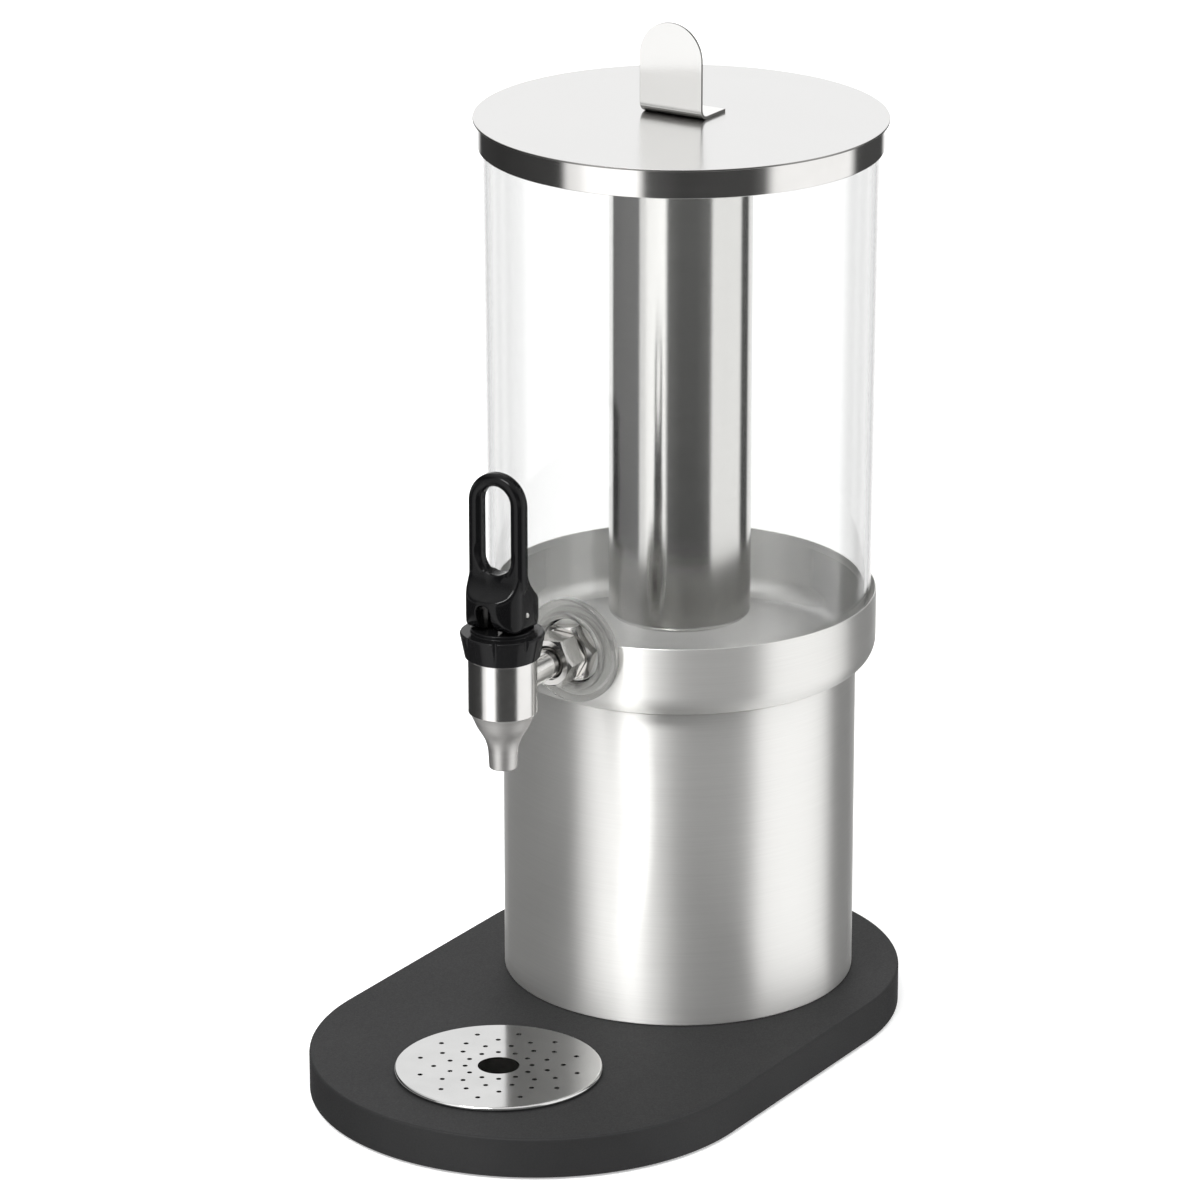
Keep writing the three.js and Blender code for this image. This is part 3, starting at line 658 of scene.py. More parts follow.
@dataclass(frozen=True)
class ClearMoulding:
    """Clear moulded plastic, almost without colour."""

    name: str
    colour: Triple = (0.99, 0.992, 0.99)
    roughness: float = 0.0
    clarity: float = 1.0
    cover: float = 1.0
    ior: float = 1.36

    def make(self) -> Material:
        """Builds the material."""
        coat = Coat(self.name)
        flow = coat.between(coat.grain((20.0, 20.0, 6.0), 2.0, 0.4))
        coat.tint(flow, tuple(0.99 * c for c in self.colour), self.colour)
        coat.set(IOR=self.ior, Transmission_Weight=self.clarity, Roughness=self.roughness,
                 Alpha=self.cover)
        return coat.material


class Finish(Enum):
    """Every finish of the dispenser."""

    COLUMN = BrushedSteel("column steel", (0.83, 0.825, 0.805), (0.88, 0.875, 0.855), sheen=0.05)
    DISH = BrushedSteel("dish steel", (0.79, 0.785, 0.765), (0.83, 0.825, 0.805), sheen=0.08)
    # Lighter copy of the dish steel for the inside of the dish: painted light standing in for
    # light that does not reach in there
    INSIDE = BrushedSteel("inside steel painted lighter", (0.96, 0.955, 0.935), (0.98, 0.975, 0.955), 0.34,
                          stretch=0.9, sheen=0.35)
    TUBE = BrushedSteel("tube steel", (0.64, 0.635, 0.62), (0.66, 0.655, 0.64), 0.18, 0.01,
                        stretch=0.8, depth=0.0)
    LID = BrushedSteel("lid steel", (0.68, 0.677, 0.67), (0.72, 0.717, 0.71), 0.2,
                       grain=Grain.ALONG_X, axis=None)
    TAB = BrushedSteel("tab steel", (0.85, 0.845, 0.83), (0.865, 0.86, 0.845), 0.13,
                       grain=Grain.ALONG_X, axis=None, depth=0.0)
    SPOUT = BrushedSteel("spout steel", (0.60, 0.59, 0.575), (0.65, 0.64, 0.625), 0.5, axis=None)
    CUP = BrushedSteel("cup steel", (0.42, 0.42, 0.41), (0.5, 0.5, 0.49), 0.34, axis=None)
    # Dark steel for the real darker cut edges of sheet, also put where shade falls as painted
    # shade: under the lid's rim and under the tab's bend
    EDGE = PolishedSteel("cut edge and painted shade", 0.3, (0.20, 0.197, 0.19), (0.28, 0.275, 0.265), depth=0.0)
    SKIRT = PolishedSteel("skirt steel", 0.12, marks=(26.0, 26.0, 1800.0))
    POLISHED = PolishedSteel("polished steel", 0.2, marks=400.0, depth=0.0)
    NUT = PolishedSteel("nut steel", 0.18, (0.70, 0.69, 0.67), (0.72, 0.71, 0.69), 150.0, 0.0)
    GRILLE = PolishedSteel("grille steel", 0.1, (0.58, 0.58, 0.575), (0.63, 0.63, 0.625))
    ZINC = ZincPlate("zinc plate", (0.46, 0.47, 0.49), (0.60, 0.61, 0.62))
    BLACK = BlackMoulding("black moulding", (0.0035, 0.0035, 0.0038), 0.13)
    BONNET = BlackMoulding("bonnet moulding", (0.006, 0.006, 0.0064), 0.14)
    BOARD = MattLacquer("matt lacquer", (0.0155, 0.0155, 0.016), (0.020, 0.020, 0.0205))
    RUBBER = Rubber("black rubber", (0.014, 0.014, 0.014), (0.024, 0.024, 0.024), 0.75)
    SILICONE = Rubber("milky silicone", (0.80, 0.80, 0.78), (0.86, 0.86, 0.84), 0.45)
    CLEAR = ClearMoulding("clear moulding")
    RING = ClearMoulding("ring moulding", (0.68, 0.68, 0.66), 0.12, 0.78)
    SUNK = ClearMoulding("sunk moulding", cover=0.45)

    @cache
    def material(self) -> Material:
        """Makes the material once and gives it each time."""
        return self.value.make()


def seat(piece: Mesh, finish: Finish, body: str, node: str,
         angle: float = 35.0) -> None:
    """Dresses a finished piece and lets it ride on its body.

    Args:
        piece: The finished piece.
        finish: Its finish.
        body: The body that carries it.
        node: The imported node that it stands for.
        angle: Edges that turn by more stay sharp, in degrees.
    """
    choose(piece)
    bpy.ops.object.transform_apply(location=True, rotation=True, scale=True)
    bpy.ops.object.shade_smooth_by_angle(angle=math.radians(angle))
    normals = piece.modifiers.new("normals", "WEIGHTED_NORMAL")
    normals.keep_sharp, normals.weight = True, 90
    bpy.ops.object.modifier_apply(modifier=normals.name)
    piece.data.materials.clear()
    piece.data.materials.append(finish.material())
    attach(piece, body)
    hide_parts(node)
    log.info("%s: %d faces, rides on %s", piece.name, len(piece.data.polygons), body)


def trim(piece: Mesh, finish: Finish, chosen: Callable[[bpy.types.MeshPolygon], bool]) -> None:
    """Gives some faces of a piece one more finish.

    Args:
        piece: The dressed piece.
        finish: The finish for these faces.
        chosen: Says of a face whether it takes this finish.
    """
    piece.data.materials.append(finish.material())
    for face in piece.data.polygons:
        if chosen(face):
            face.material_index = len(piece.data.materials) - 1


# Sub-assemblies


@dataclass
class Base:
    """Board, feet and the steel column with its dish."""

    board_width: float = 220.0
    board_length: float = 350.0
    board_foot: float = 1.0
    board_top: float = 21.0
    board_ease: float = 1.2
    recess_radius: float = 46.0
    recess_depth: float = 13.0
    recess_lip: float = 0.6
    recess_rise: float = 0.01
    foot_radius: float = 9.0
    foot_edge: float = 0.5
    foot_play: float = 0.3
    foot_hollow: tuple[Point, ...] = ((0.0, 0.35), (0.6, 0.3), (0.7, 0.0))
    foot_across: float = 76.0
    foot_along: float = 113.0
    pocket_depth: float = 1.0
    screw_circle: float = 78.0
    screw_hole: float = 2.8
    screw_head_hole: float = 4.7
    screw_head_top: float = 6.6
    column_radius: float = 86.5
    column_top: float = 182.4
    column_flange: float = 17.0
    column_sheet: float = 1.0
    column_round: float = 0.8
    dish_radius: float = 96.2
    dish_height: float = 36.4
    dish_corner: float = 12.0
    dish_ease: float = 0.2
    sheet: float = 0.8
    notch_radius: float = 22.6
    notch_fillet: float = 3.0
    notch_back: float = 26.0

    def build(self) -> None:
        """Builds the pieces that stay on the table."""
        self.make_board()
        self.make_feet()
        self.make_column()
        self.make_dish()

    def foot_places(self) -> list[Point]:
        """Places of the four feet."""
        return [(x, y) for y in (-self.foot_along, self.foot_along)
                for x in (-self.foot_across, self.foot_across)]

    def screw_places(self) -> list[Point]:
        """Places of the three screws."""
        return [around(self.screw_circle, 90 + 120 * i, COLUMN) for i in range(3)]

    def make_board(self) -> None:
        """Board: a slab with round ends, eased edges, and its recesses and holes."""
        end, low, top = self.board_width / 2, self.board_foot, self.board_top
        middle, above, below = self.board_length / 2 - end, top + OVERRUN, low - OVERRUN
        outline = [*bend(0, middle, end, 0, 180, 96), *bend(0, -middle, end, 180, 360, 96)]
        board = prism("board_slab", outline, View.PLAN, low, top)
        ease(board, self.board_ease, 60, 4)
        r, lip, floor = self.recess_radius, self.recess_lip, top - self.recess_depth
        recess = turned("recess", [
            (0, floor), (r, floor), (r, top - lip), (r + lip, top + self.recess_rise),
            (r + lip, above), (0, above),
        ], TRAY)
        pocket = turned("pocket", block(self.foot_radius + self.foot_play, below,
                                        low + self.pocket_depth), steps=SMALL)
        hole = turned("hole", [
            (0, below), (self.screw_head_hole, below),
            (self.screw_head_hole, self.screw_head_top), (self.screw_hole, self.screw_head_top),
            (self.screw_hole, above), (0, above),
        ], steps=SMALL)
        carve(board, recess, copies(pocket, self.foot_places()),
              copies(hole, self.screw_places()))
        seat(board, Finish.BOARD, "base", "board")

    def make_feet(self) -> None:
        """Rubber feet with a dished underside."""
        r, edge, top = self.foot_radius, self.foot_edge, self.board_foot + self.pocket_depth
        hollow = [(share * r, height) for share, height in self.foot_hollow]
        for number, place in enumerate(self.foot_places(), 1):
            foot = turned(f"foot_{number}", [
                *hollow, *bend(r - edge, edge, edge, -90, 0, 4), (r, top), (0, top),
            ], place, SMALL)
            seat(foot, Finish.RUBBER, "base", f"foot_pad_{number}")

    def make_column(self) -> None:
        """Column: a brushed tube with rounded ends and rings turned in at both."""
        r, top, foot = self.column_radius, self.column_top, self.board_top
        thick, turn = self.column_sheet, self.column_round
        inner, edge = r - thick, r - self.column_flange
        column = turned("column_tube", [
            (edge, foot), *bend(r - turn, foot + turn, turn, -90, 0, 5),
            *bend(r - turn, top - turn, turn, 0, 90, 5), (edge, top), (edge, top - thick),
            (inner, top - thick), (inner, foot + thick), (edge, foot + thick),
        ], COLUMN)
        hole = turned("hole", block(self.screw_hole, foot - OVERRUN, foot + thick + OVERRUN),
                      steps=SMALL)
        carve(column, copies(hole, self.screw_places()))
        seat(column, Finish.COLUMN, "base", "column_shell")

    def make_dish(self) -> None:
        """Dish: a pan with a rounded corner and rim, notched for the boss."""
        r, foot, corner, thick = self.dish_radius, self.column_top, self.dish_corner, self.sheet
        top, lip = foot + self.dish_height, self.sheet / 2
        dish = turned("dish_pan", [
            (0, foot), *bend(r - corner, foot + corner, corner, -90, 0, 12),
            *bend(r - lip, top - lip, lip, 0, 180, 6),
            *bend(r - corner, foot + corner, corner - thick, 0, -90, 12), (0, foot + thick),
        ], COLUMN)
        fillet = self.notch_fillet
        wide = self.notch_radius + fillet
        notch = prism("notch", [
            *bend(0, OUTLET, self.notch_radius, 180, 360, 48),
            *bend(wide, top - fillet, fillet, 180, 90, 8), (wide, top + OVERRUN),
            (-wide, top + OVERRUN), *bend(-wide, top - fillet, fillet, 90, 0, 8),
        ], View.FRONT, COLUMN[1] - r - OVERRUN, COLUMN[1] - self.notch_back)
        carve(dish, notch)
        ease(dish, self.dish_ease, 60)
        seat(dish, Finish.DISH, "base", "collar_dish")
        # The inside faces of the dish take the lighter steel as painted light
        within = (r - lip) * MM
        trim(dish, Finish.INSIDE, lambda face: face.normal.z > -0.1 and math.hypot(
            face.center.x - COLUMN[0] * MM, face.center.y - COLUMN[1] * MM) < within)


@dataclass
class Vessel:
    """Clear container with the fixings of the tap, in distances from the column's axis."""

    foot: float = 183.5
    height: float = 270.0
    foot_radius: float = 93.4
    draft: float = 1.5
    wall: float = 3.0
    floor: float = 4.0
    corner: float = 11.5
    mouth_round: float = 0.6
    rows: int = 12
    sunk_height: float = 217.0
    boss_radius: float = 21.6
    boss_face: float = 96.2
    boss_round: float = 0.3
    ring_radius: float = 25.6
    ring_face: float = 99.8
    ring_round: float = 1.0
    ring_fillet: float = 0.5
    ring_chamfer: float = 0.4
    ring_flare: float = 2.0
    ring_bore: float = 16.3
    lip_radius: float = 19.5
    lip_face: float = 102.3
    milky_rim: float = 1.5
    milky_depth: float = 1.2
    pad_radius: float = 17.0
    pad_face: float = 88.8
    pad_round: float = 0.2
    bore: float = 7.55
    gasket_radius: float = 15.4
    gasket: float = 1.5
    gasket_round: float = 0.4
    lock_across: float = 26.0
    lock_span: Point = (97.7, 104.7)
    lock_turn: float = 10.0
    tail_across: float = 22.4
    tail_span: Point = (105.4, 119.38)
    inner_across: float = 24.0
    inner_span: Point = (81.3, 87.3)
    nut_land: float = 0.2
    nut_share: float = 0.06
    nut_clear: float = 0.3
    sink_radius: float = 8.5
    sink_depth: float = 2.2
    shank_radius: float = 7.25
    shank_bore: float = 4.6
    shank_span: Point = (78.5, 143.95)
    shank_chamfer: float = 0.6

    def build(self) -> None:
        """Builds the container and what clamps the tap to it."""
        self.make_container()
        self.make_ring()
        self.make_nuts()
        self.make_gaskets()
        self.make_shank()

    @staticmethod
    def front(distance: float) -> float:
        """Place along Y of a distance from the column axis to the front."""
        return COLUMN[1] - distance

    def disc(self, name: str, radius: float, edge: float) -> Mesh:
        """Round disc about the tap axis, as thick as the boss, its front edge rounded.

        Args:
            name: Name of the disc.
            radius: Its radius.
            edge: Radius of the front edge.

        Returns:
            The disc.
        """
        back, face = self.front(self.pad_face), self.front(self.boss_face)
        return turned_forward(name, [
            (0, back), (radius, back), *bend(radius - edge, face + edge, edge, 0, -90, 6),
            (0, face),
        ])

    def make_container(self) -> None:
        """Container: a drafted cup with the boss of the tap and the pad inside."""
        foot, corner, r, edge = self.foot, self.corner, self.foot_radius, self.mouth_round
        top, mouth, inner = foot + self.height, r + self.draft, corner - self.wall
        rows = [i / self.rows for i in range(1, self.rows)]
        wall = [(r + self.draft * i, foot + corner + (self.height - corner) * i) for i in rows]
        cup = turned("container_cup", [
            (0, foot), *bend(r - corner, foot + corner, corner, -90, 0, 12), *wall,
            *bend(mouth - edge, top - edge, edge, 0, 90, 4), (0, top),
        ], COLUMN)
        hollow = turned("hollow", [
            (0, foot + self.floor),
            *bend(r - corner, foot + self.floor + inner, inner, -90, 0, 10),
            *[(radius - self.wall, z) for radius, z in wall], (mouth - self.wall, top),
            (mouth - self.wall, top + OVERRUN), (0, top + OVERRUN),
        ], COLUMN)
        hole = turned_forward("hole", block(self.bore, self.front(self.pad_face) + OVERRUN,
                                            self.front(self.boss_face) - OVERRUN))
        carve(cup, self.disc("boss", self.boss_radius, self.boss_round), how=Join.ADD)
        carve(cup, hollow)
        carve(cup, self.disc("pad", self.pad_radius, self.pad_round), how=Join.ADD)
        carve(cup, hole)
        seat(cup, Finish.CLEAR, "vessel", "container")
        low, wide = self.sunk_height * MM, (self.boss_radius + self.milky_rim) * MM
        back = self.front(self.boss_face) * MM + self.milky_depth * MM
        under = (OUTLET - self.boss_radius) * MM
        trim(cup, Finish.SUNK, lambda face: face.center.z < low)
        trim(cup, Finish.RING, lambda face: abs(face.center.x) < wide
             and face.center.y < back and under < face.center.z < 2 * OUTLET * MM - under)

    def make_ring(self) -> None:
        """Clear ring on the face of the boss, its edges rounded and its lip raised."""
        back, face, lip = (self.front(d) for d in
                           (self.boss_face, self.ring_face, self.lip_face))
        r, edge, fillet = self.ring_radius, self.ring_round, self.ring_fillet
        chamfer, flare = self.ring_chamfer, self.ring_flare
        ring = turned_forward("clear_ring", [
            (self.ring_bore, back), (r - chamfer, back), (r, back - chamfer),
            *bend(r - edge, face + edge, edge, 0, -90, 6),
            *bend(self.lip_radius + fillet, face - fillet, fillet, 90, 180, 4),
            *bend(self.lip_radius - edge, lip + edge, edge, 0, -90, 6),
            *bend(self.ring_bore + flare, lip + flare, flare, 270, 180, 5),
        ])
        seat(ring, Finish.RING, "vessel", "boss_ring")

    def hex_nut(self, name: str, across: float, span: Point, turn: float) -> Mesh:
        """Hexagon nut about the tap axis, bored, its corners turned off on both faces.

        Args:
            name: Name of the nut.
            across: Width across its flats.
            span: Its two faces, from the column axis to the front.
            turn: How far it is turned from a corner to the side, in degrees.

        Returns:
            The nut.
        """
        back, face = self.front(span[0]), self.front(span[1])
        corner = across / math.sqrt(3)
        points = [around(corner, turn + 60 * i, (0, OUTLET)) for i in range(6)]
        nut = prism(name, points, View.FRONT, back, face)
        rise, flat = self.nut_share * across, across / 2 - self.nut_land
        wide = corner + self.nut_clear
        cone = turned_forward("cone", [
            (0, back), (flat, back), (wide, back - rise), (wide, face + rise), (flat, face),
            (0, face),
        ])
        carve(nut, cone, how=Join.COMMON)
        return carve(nut, turned_forward("bore", block(self.bore, back + OVERRUN,
                                                       face - OVERRUN), SMALL))

    def make_nuts(self) -> None:
        """Lock nut, tail nut with its counterbore, and the nut inside the container."""
        for node, across, span, turn, edge, angle in (
            ("lock_nut", self.lock_across, self.lock_span, self.lock_turn, 0.5, 14),
            ("tail_nut", self.tail_across, self.tail_span, 0.0, 0.5, 14),
            ("inner_nut", self.inner_across, self.inner_span, 0.0, 0.3, 35),
        ):
            nut = self.hex_nut(f"{node}_hex", across, span, turn)
            if node == "tail_nut":
                face = self.front(span[1])
                carve(nut, turned_forward("sink", block(
                    self.sink_radius, face + self.sink_depth, face - OVERRUN), SMALL))
            ease(nut, edge, 25, 3)
            seat(nut, Finish.NUT, "vessel", node, angle)

    def make_gaskets(self) -> None:
        """Silicone rings on both sides of the wall."""
        r, edge = self.gasket_radius, self.gasket_round
        for node, start in (("outer_gasket", self.boss_face),
                            ("inner_gasket", self.inner_span[1])):
            back, face = self.front(start), self.front(start + self.gasket)
            ring = turned_forward(f"{node}_ring", [
                (self.bore, back), *bend(r - edge, back - edge, edge, 90, 0, 4),
                *bend(r - edge, face + edge, edge, 0, -90, 4), (self.bore, face),
            ], SMALL)
            seat(ring, Finish.SILICONE, "vessel", node)

    def make_shank(self) -> None:
        """Shank: a polished tube from inside the container into the barrel."""
        tail, end = (self.front(d) for d in self.shank_span)
        r, edge = self.shank_radius, self.shank_chamfer
        shank = turned_forward("tap_shank_tube", [
            (self.shank_bore, tail), (r - edge, tail), (r, tail - edge), (r, end),
            (self.shank_bore, end),
        ], SMALL)
        seat(shank, Finish.NUT, "vessel", "tap_shank")


@dataclass
class Tap:
    """Barrel, spout, bonnet and return spring, in heights above the level axis."""

    barrel_radius: float = 16.3
    barrel_edge: float = 0.5
    shoulder: float = 15.2
    neck_radius: float = 15.0
    neck_top: float = 24.5
    barrel_foot: float = -12.0
    chamber_radius: float = 12.8
    valve_seat: float = -7.4
    waterway: float = 5.3
    spigot_radius: float = 8.0
    spigot_height: float = 2.6
    play: float = 0.3
    spout_length: float = 28.0
    spout_tip: float = 6.6
    spout_edge: float = 0.3
    spout_shares: tuple[Point, ...] = ((0.94, 0.0), (0.82, 0.08), (0.57, 0.27), (0.29, 0.43),
                                       (0.14, 0.55), (0.05, 0.70), (0.0, 1.0))
    socket_radius: float = 7.55
    socket_depth: float = 14.25
    inlet: float = 4.6
    bonnet_foot: float = 15.5
    bonnet_height: float = 12.5
    bonnet_foot_radius: float = 17.8
    bonnet_top_radius: float = 20.0
    bonnet_roof: float = 3.0
    bonnet_edge: float = 1.0
    bonnet_hem: float = 0.6
    disc_radius: float = 15.0
    disc_proud: float = 2.0
    disc_fillet: float = 0.4
    grips: int = 8
    grip_radius: float = 1.7
    grip_out: float = 0.75
    stem_hole: float = 3.9
    spring_wire: float = 1.1
    spring_radius: float = 6.1
    spring_turns: int = 6
    stem_travel: float = 6.3

    def build(self) -> None:
        """Builds the tap from the barrel up."""
        self.make_barrel()
        self.make_spout()
        self.make_bonnet()
        self.make_spring()

    def make_barrel(self) -> None:
        """Barrel: a polished cup with a crisp foot, its neck inside the bonnet."""
        r, foot, edge = self.barrel_radius, OUTLET + self.barrel_foot, self.barrel_edge
        seat_z, top = OUTLET + self.valve_seat, OUTLET + self.neck_top
        shoulder, socket = OUTLET + self.shoulder, self.spigot_radius + self.play
        roof = foot + self.spigot_height + self.play
        barrel = turned("tap_barrel", [
            (socket, foot), *bend(r - edge, foot + edge, edge, -90, 0, 4),
            *bend(r - edge, shoulder - edge, edge, 0, 90, 4), (self.neck_radius, shoulder),
            (self.neck_radius, top), (self.chamber_radius, top), (self.chamber_radius, seat_z),
            (self.waterway, seat_z), (self.waterway, roof), (socket, roof),
        ], TAP, MEDIUM)
        step, end = TAP[1] + self.socket_depth, TAP[1] + THROUGH
        carve(barrel, turned_forward("side", [
            (0, TAP[1]), (self.inlet, TAP[1]), (self.inlet, step), (self.socket_radius, step),
            (self.socket_radius, end), (0, end),
        ], SMALL))
        seat(barrel, Finish.POLISHED, "vessel", "tap_body")

    def make_spout(self) -> None:
        """Spout: satin, drawn in to a thin tip, with a spigot up into the barrel."""
        foot, r, edge = OUTLET + self.barrel_foot, self.spout_tip, self.spout_edge
        head, tip = foot + self.spigot_height, foot - self.spout_length
        span = self.barrel_radius - r
        curve = fair([(r + share * span, foot - drop * self.spout_length)
                      for share, drop in self.spout_shares], 6)
        spout = turned("tap_nozzle", [
            (self.waterway, head), (self.spigot_radius, head), (self.spigot_radius, foot),
            *curve[:-1], (r, tip + edge), (r - edge, tip), (self.waterway + edge, tip),
            (self.waterway, tip + edge),
        ], TAP, MEDIUM)
        seat(spout, Finish.SPOUT, "vessel", "tap_spout")

    def make_bonnet(self) -> None:
        """Bonnet: a flared cap nut with grip grooves and a raised disc."""
        foot, top = OUTLET + self.bonnet_foot, OUTLET + self.bonnet_foot + self.bonnet_height
        disc, ceiling = top + self.disc_proud, top - self.bonnet_roof
        inner = self.neck_radius + self.play
        big, small, rim = self.bonnet_top_radius, self.bonnet_foot_radius, self.disc_radius
        edge, hem, fillet = self.bonnet_edge, self.bonnet_hem, self.disc_fillet
        bonnet = turned("bonnet_cap", [
            (self.stem_hole, disc), *bend(rim - hem, disc - hem, hem, 90, 0, 5),
            *bend(rim + fillet, top + fillet, fillet, 180, 270, 4),
            *bend(big - edge, top - edge, edge, 90, -6, 8),
            *bend(small - hem, foot + hem, hem, -4, -90, 5), (inner, foot), (inner, ceiling),
            (self.stem_hole, ceiling),
        ], TAP)
        groove = turned("groove", block(self.grip_radius, foot - OVERRUN, top + OVERRUN),
                        steps=24)
        pitch = 360 / self.grips
        carve(bonnet, copies(groove, [around(big + self.grip_out, pitch / 2 + pitch * i, TAP)
                                      for i in range(self.grips)]))
        ease(bonnet, 0.3, 32)
        seat(bonnet, Finish.BONNET, "vessel", "bonnet")

    def make_spring(self) -> None:
        """Return spring: round wire in a coil between the heights of the imported spring."""
        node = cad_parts["stem_spring"]
        heights = [(node.matrix_world @ vertex.co).z for vertex in node.data.vertices]
        thick = self.spring_wire / 2 * MM
        low, high = min(heights) + thick, max(heights) - thick
        bpy.ops.mesh.primitive_circle_add(vertices=12, radius=thick,
                                          rotation=(math.pi / 2, 0, 0))
        spring = bpy.context.object
        spring.name = spring.data.name = "return_spring"
        bpy.ops.object.transform_apply(location=False, rotation=True, scale=False)
        with editing(spring):
            bpy.ops.transform.translate(value=(self.spring_radius * MM, 0, 0))
        spring.location = (TAP[0] * MM, TAP[1] * MM, low)
        wind = spring.modifiers.new("wind", "SCREW")
        wind.axis, wind.angle, wind.iterations = "Z", math.tau, self.spring_turns
        wind.steps = wind.render_steps = 24
        wind.screw_offset = (high - low) / self.spring_turns
        bpy.ops.object.modifier_apply(modifier=wind.name)
        with editing(spring):
            bpy.ops.mesh.remove_doubles(threshold=WELD)
            bpy.ops.mesh.fill_holes(sides=0)
            bpy.ops.mesh.normals_make_consistent(inside=False)
        bpy.ops.object.transform_apply(location=True, rotation=True, scale=True)
        seat(spring, Finish.POLISHED, "vessel", "stem_spring")
        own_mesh(spring)


@dataclass
class Lever:
    """Forked lever with its finger loop, in heights above the pin."""

    pin_height: float = 252.0
    pin_radius: float = 1.35
    pin_play: float = 0.3
    pin_chamfer: float = 0.3
    pin_sunk: float = 0.1
    cam_rest: float = 7.7
    cam_lift: float = 6.0
    cam_steps: int = 24
    foot_radius: float = 17.2
    foot_width: float = 28.8
    height: float = 68.3
    lip: float = 9.0
    lip_rise: float = 3.0
    brow: float = 19.0
    scoop_top: float = 29.5
    scoop_radius: float = 23.0
    scoop_ahead: float = 27.0
    neck: float = 20.5
    back_rise: float = 4.0
    back_swell: float = 2.0
    back_foot: float = 16.0
    forward: float = 3.0
    foot_corner: float = 11.5
    foot_round: float = 2.0
    loop_width: float = 30.2
    loop_thickness: float = 8.0
    loop_round: float = 3.0
    loop_top: float = 6.4
    hole_width: float = 16.2
    hole_foot: float = 19.0
    fork_width: float = 7.8
    fork_rise: float = 7.0
    fork_back: float = 4.2
    fork_below: float = 10.0
    voxel: float = 0.4
    softening: int = 10
    foot_voxel: float = 0.5
    foot_softening: int = 70

    def build(self) -> None:
        """Builds the lever and its pin."""
        self.make_lever()
        self.make_pin()

    @staticmethod
    def sweep(start: Point, corner: Point, end: Point, steps: int = 16) -> list[Point]:
        """Curve from one point to another that leaves each towards a corner."""
        return [tuple((1 - t) ** 2 * a + 2 * t * (1 - t) * b + t * t * c
                      for a, b, c in zip(start, corner, end))
                for t in (i / steps for i in range(steps + 1))]

    def side_outline(self) -> list[Point]:
        """Side view of the foot: cam, lip, front and back."""
        front = -self.forward - self.loop_thickness / 2
        back = self.loop_thickness / 2 - self.forward
        cam = []
        for i in range(self.cam_steps + 1):
            tilt = math.pi / 2 * i / self.cam_steps
            reach = self.cam_rest + self.cam_lift * tilt
            cam.append((-reach * math.sin(tilt) - self.cam_lift * math.cos(tilt),
                        -reach * math.cos(tilt) + self.cam_lift * math.sin(tilt)))
        rise = self.sweep((-self.foot_radius, self.lip),
                          (front - self.lip_rise, self.lip + self.lip_rise), (front, self.brow))
        spine = self.sweep((back, self.neck), (back + self.back_swell, self.neck / 2),
                           (self.foot_radius, self.back_rise))
        points = [(self.back_foot, -self.cam_rest), *cam, *rise, (front, self.neck), *spine,
                  (self.foot_radius, -self.back_rise)]
        return [(TAP[1] + y, self.pin_height + z) for y, z in points]

    def make_foot(self) -> Mesh:
        """Foot of the lever: what its plan, side view and front view have in common."""
        low, high = self.pin_height - self.cam_rest, self.pin_height + self.neck
        half, deep, r = self.foot_width / 2, self.foot_radius, self.foot_corner
        x, y = half - r, deep - r
        foot = prism("foot", [
            *bend(x, TAP[1] + y, r, 0, 90, 16), *bend(-x, TAP[1] + y, r, 90, 180, 16),
            *bend(-x, TAP[1] - y, r, 180, 270, 16), *bend(x, TAP[1] - y, r, 270, 360, 16),
        ], View.PLAN, low - OVERRUN, high + OVERRUN)
        side = prism("side", self.side_outline(), View.SIDE, -half - OVERRUN, half + OVERRUN)
        r, above = self.foot_round, high + 2 * OVERRUN
        front = prism("front", [
            (-half, above), *bend(r - half, low + r, r, 180, 270, 8),
            *bend(half - r, low + r, r, 270, 360, 8), (half, above),
        ], View.FRONT, TAP[1] + deep + OVERRUN, TAP[1] - deep - OVERRUN)
        carve(foot, side, front, how=Join.COMMON)
        self.soften(foot, self.foot_softening, self.foot_voxel)
        return foot

    @staticmethod
    def soften(piece: Mesh, steps: int, voxel: float) -> None:
        """Covers a piece with an even net and rounds its edges.

        Args:
            piece: The piece to change.
            steps: How often the net is smoothed.
            voxel: Size of the net.
        """
        piece.data.remesh_voxel_size = voxel * MM
        piece.data.remesh_voxel_adaptivity = 0
        choose(piece)
        bpy.ops.object.voxel_remesh()
        soft = piece.modifiers.new("soften", "SMOOTH")
        soft.factor, soft.iterations = 0.5, steps
        bpy.ops.object.modifier_apply(modifier=soft.name)

    def arch(self, name: str, half: float, base: Sequence[Point], top: float, start: float,
             end: float) -> Mesh:
        """Prism with a round top, seen from the front.

        Args:
            name: Name of the prism.
            half: Half of its width.
            base: Points of its foot, from left to right.
            top: Highest height above the pin.
            start: Its back along Y.
            end: Its front along Y.

        Returns:
            The prism.
        """
        crown = bend(0, self.pin_height + top - half, half, 0, 180, 32)
        return prism(name, [*crown, *base], View.FRONT, start, end)

    def finger_hole(self) -> Mesh:
        """Tool that cuts the finger hole."""
        half = self.hole_width / 2
        base = bend(0, self.pin_height + self.hole_foot + half, half, 180, 360, 32)
        return self.arch("finger_hole", half, base, self.height - self.loop_top,
                         TAP[1] + THROUGH, TAP[1] - THROUGH)

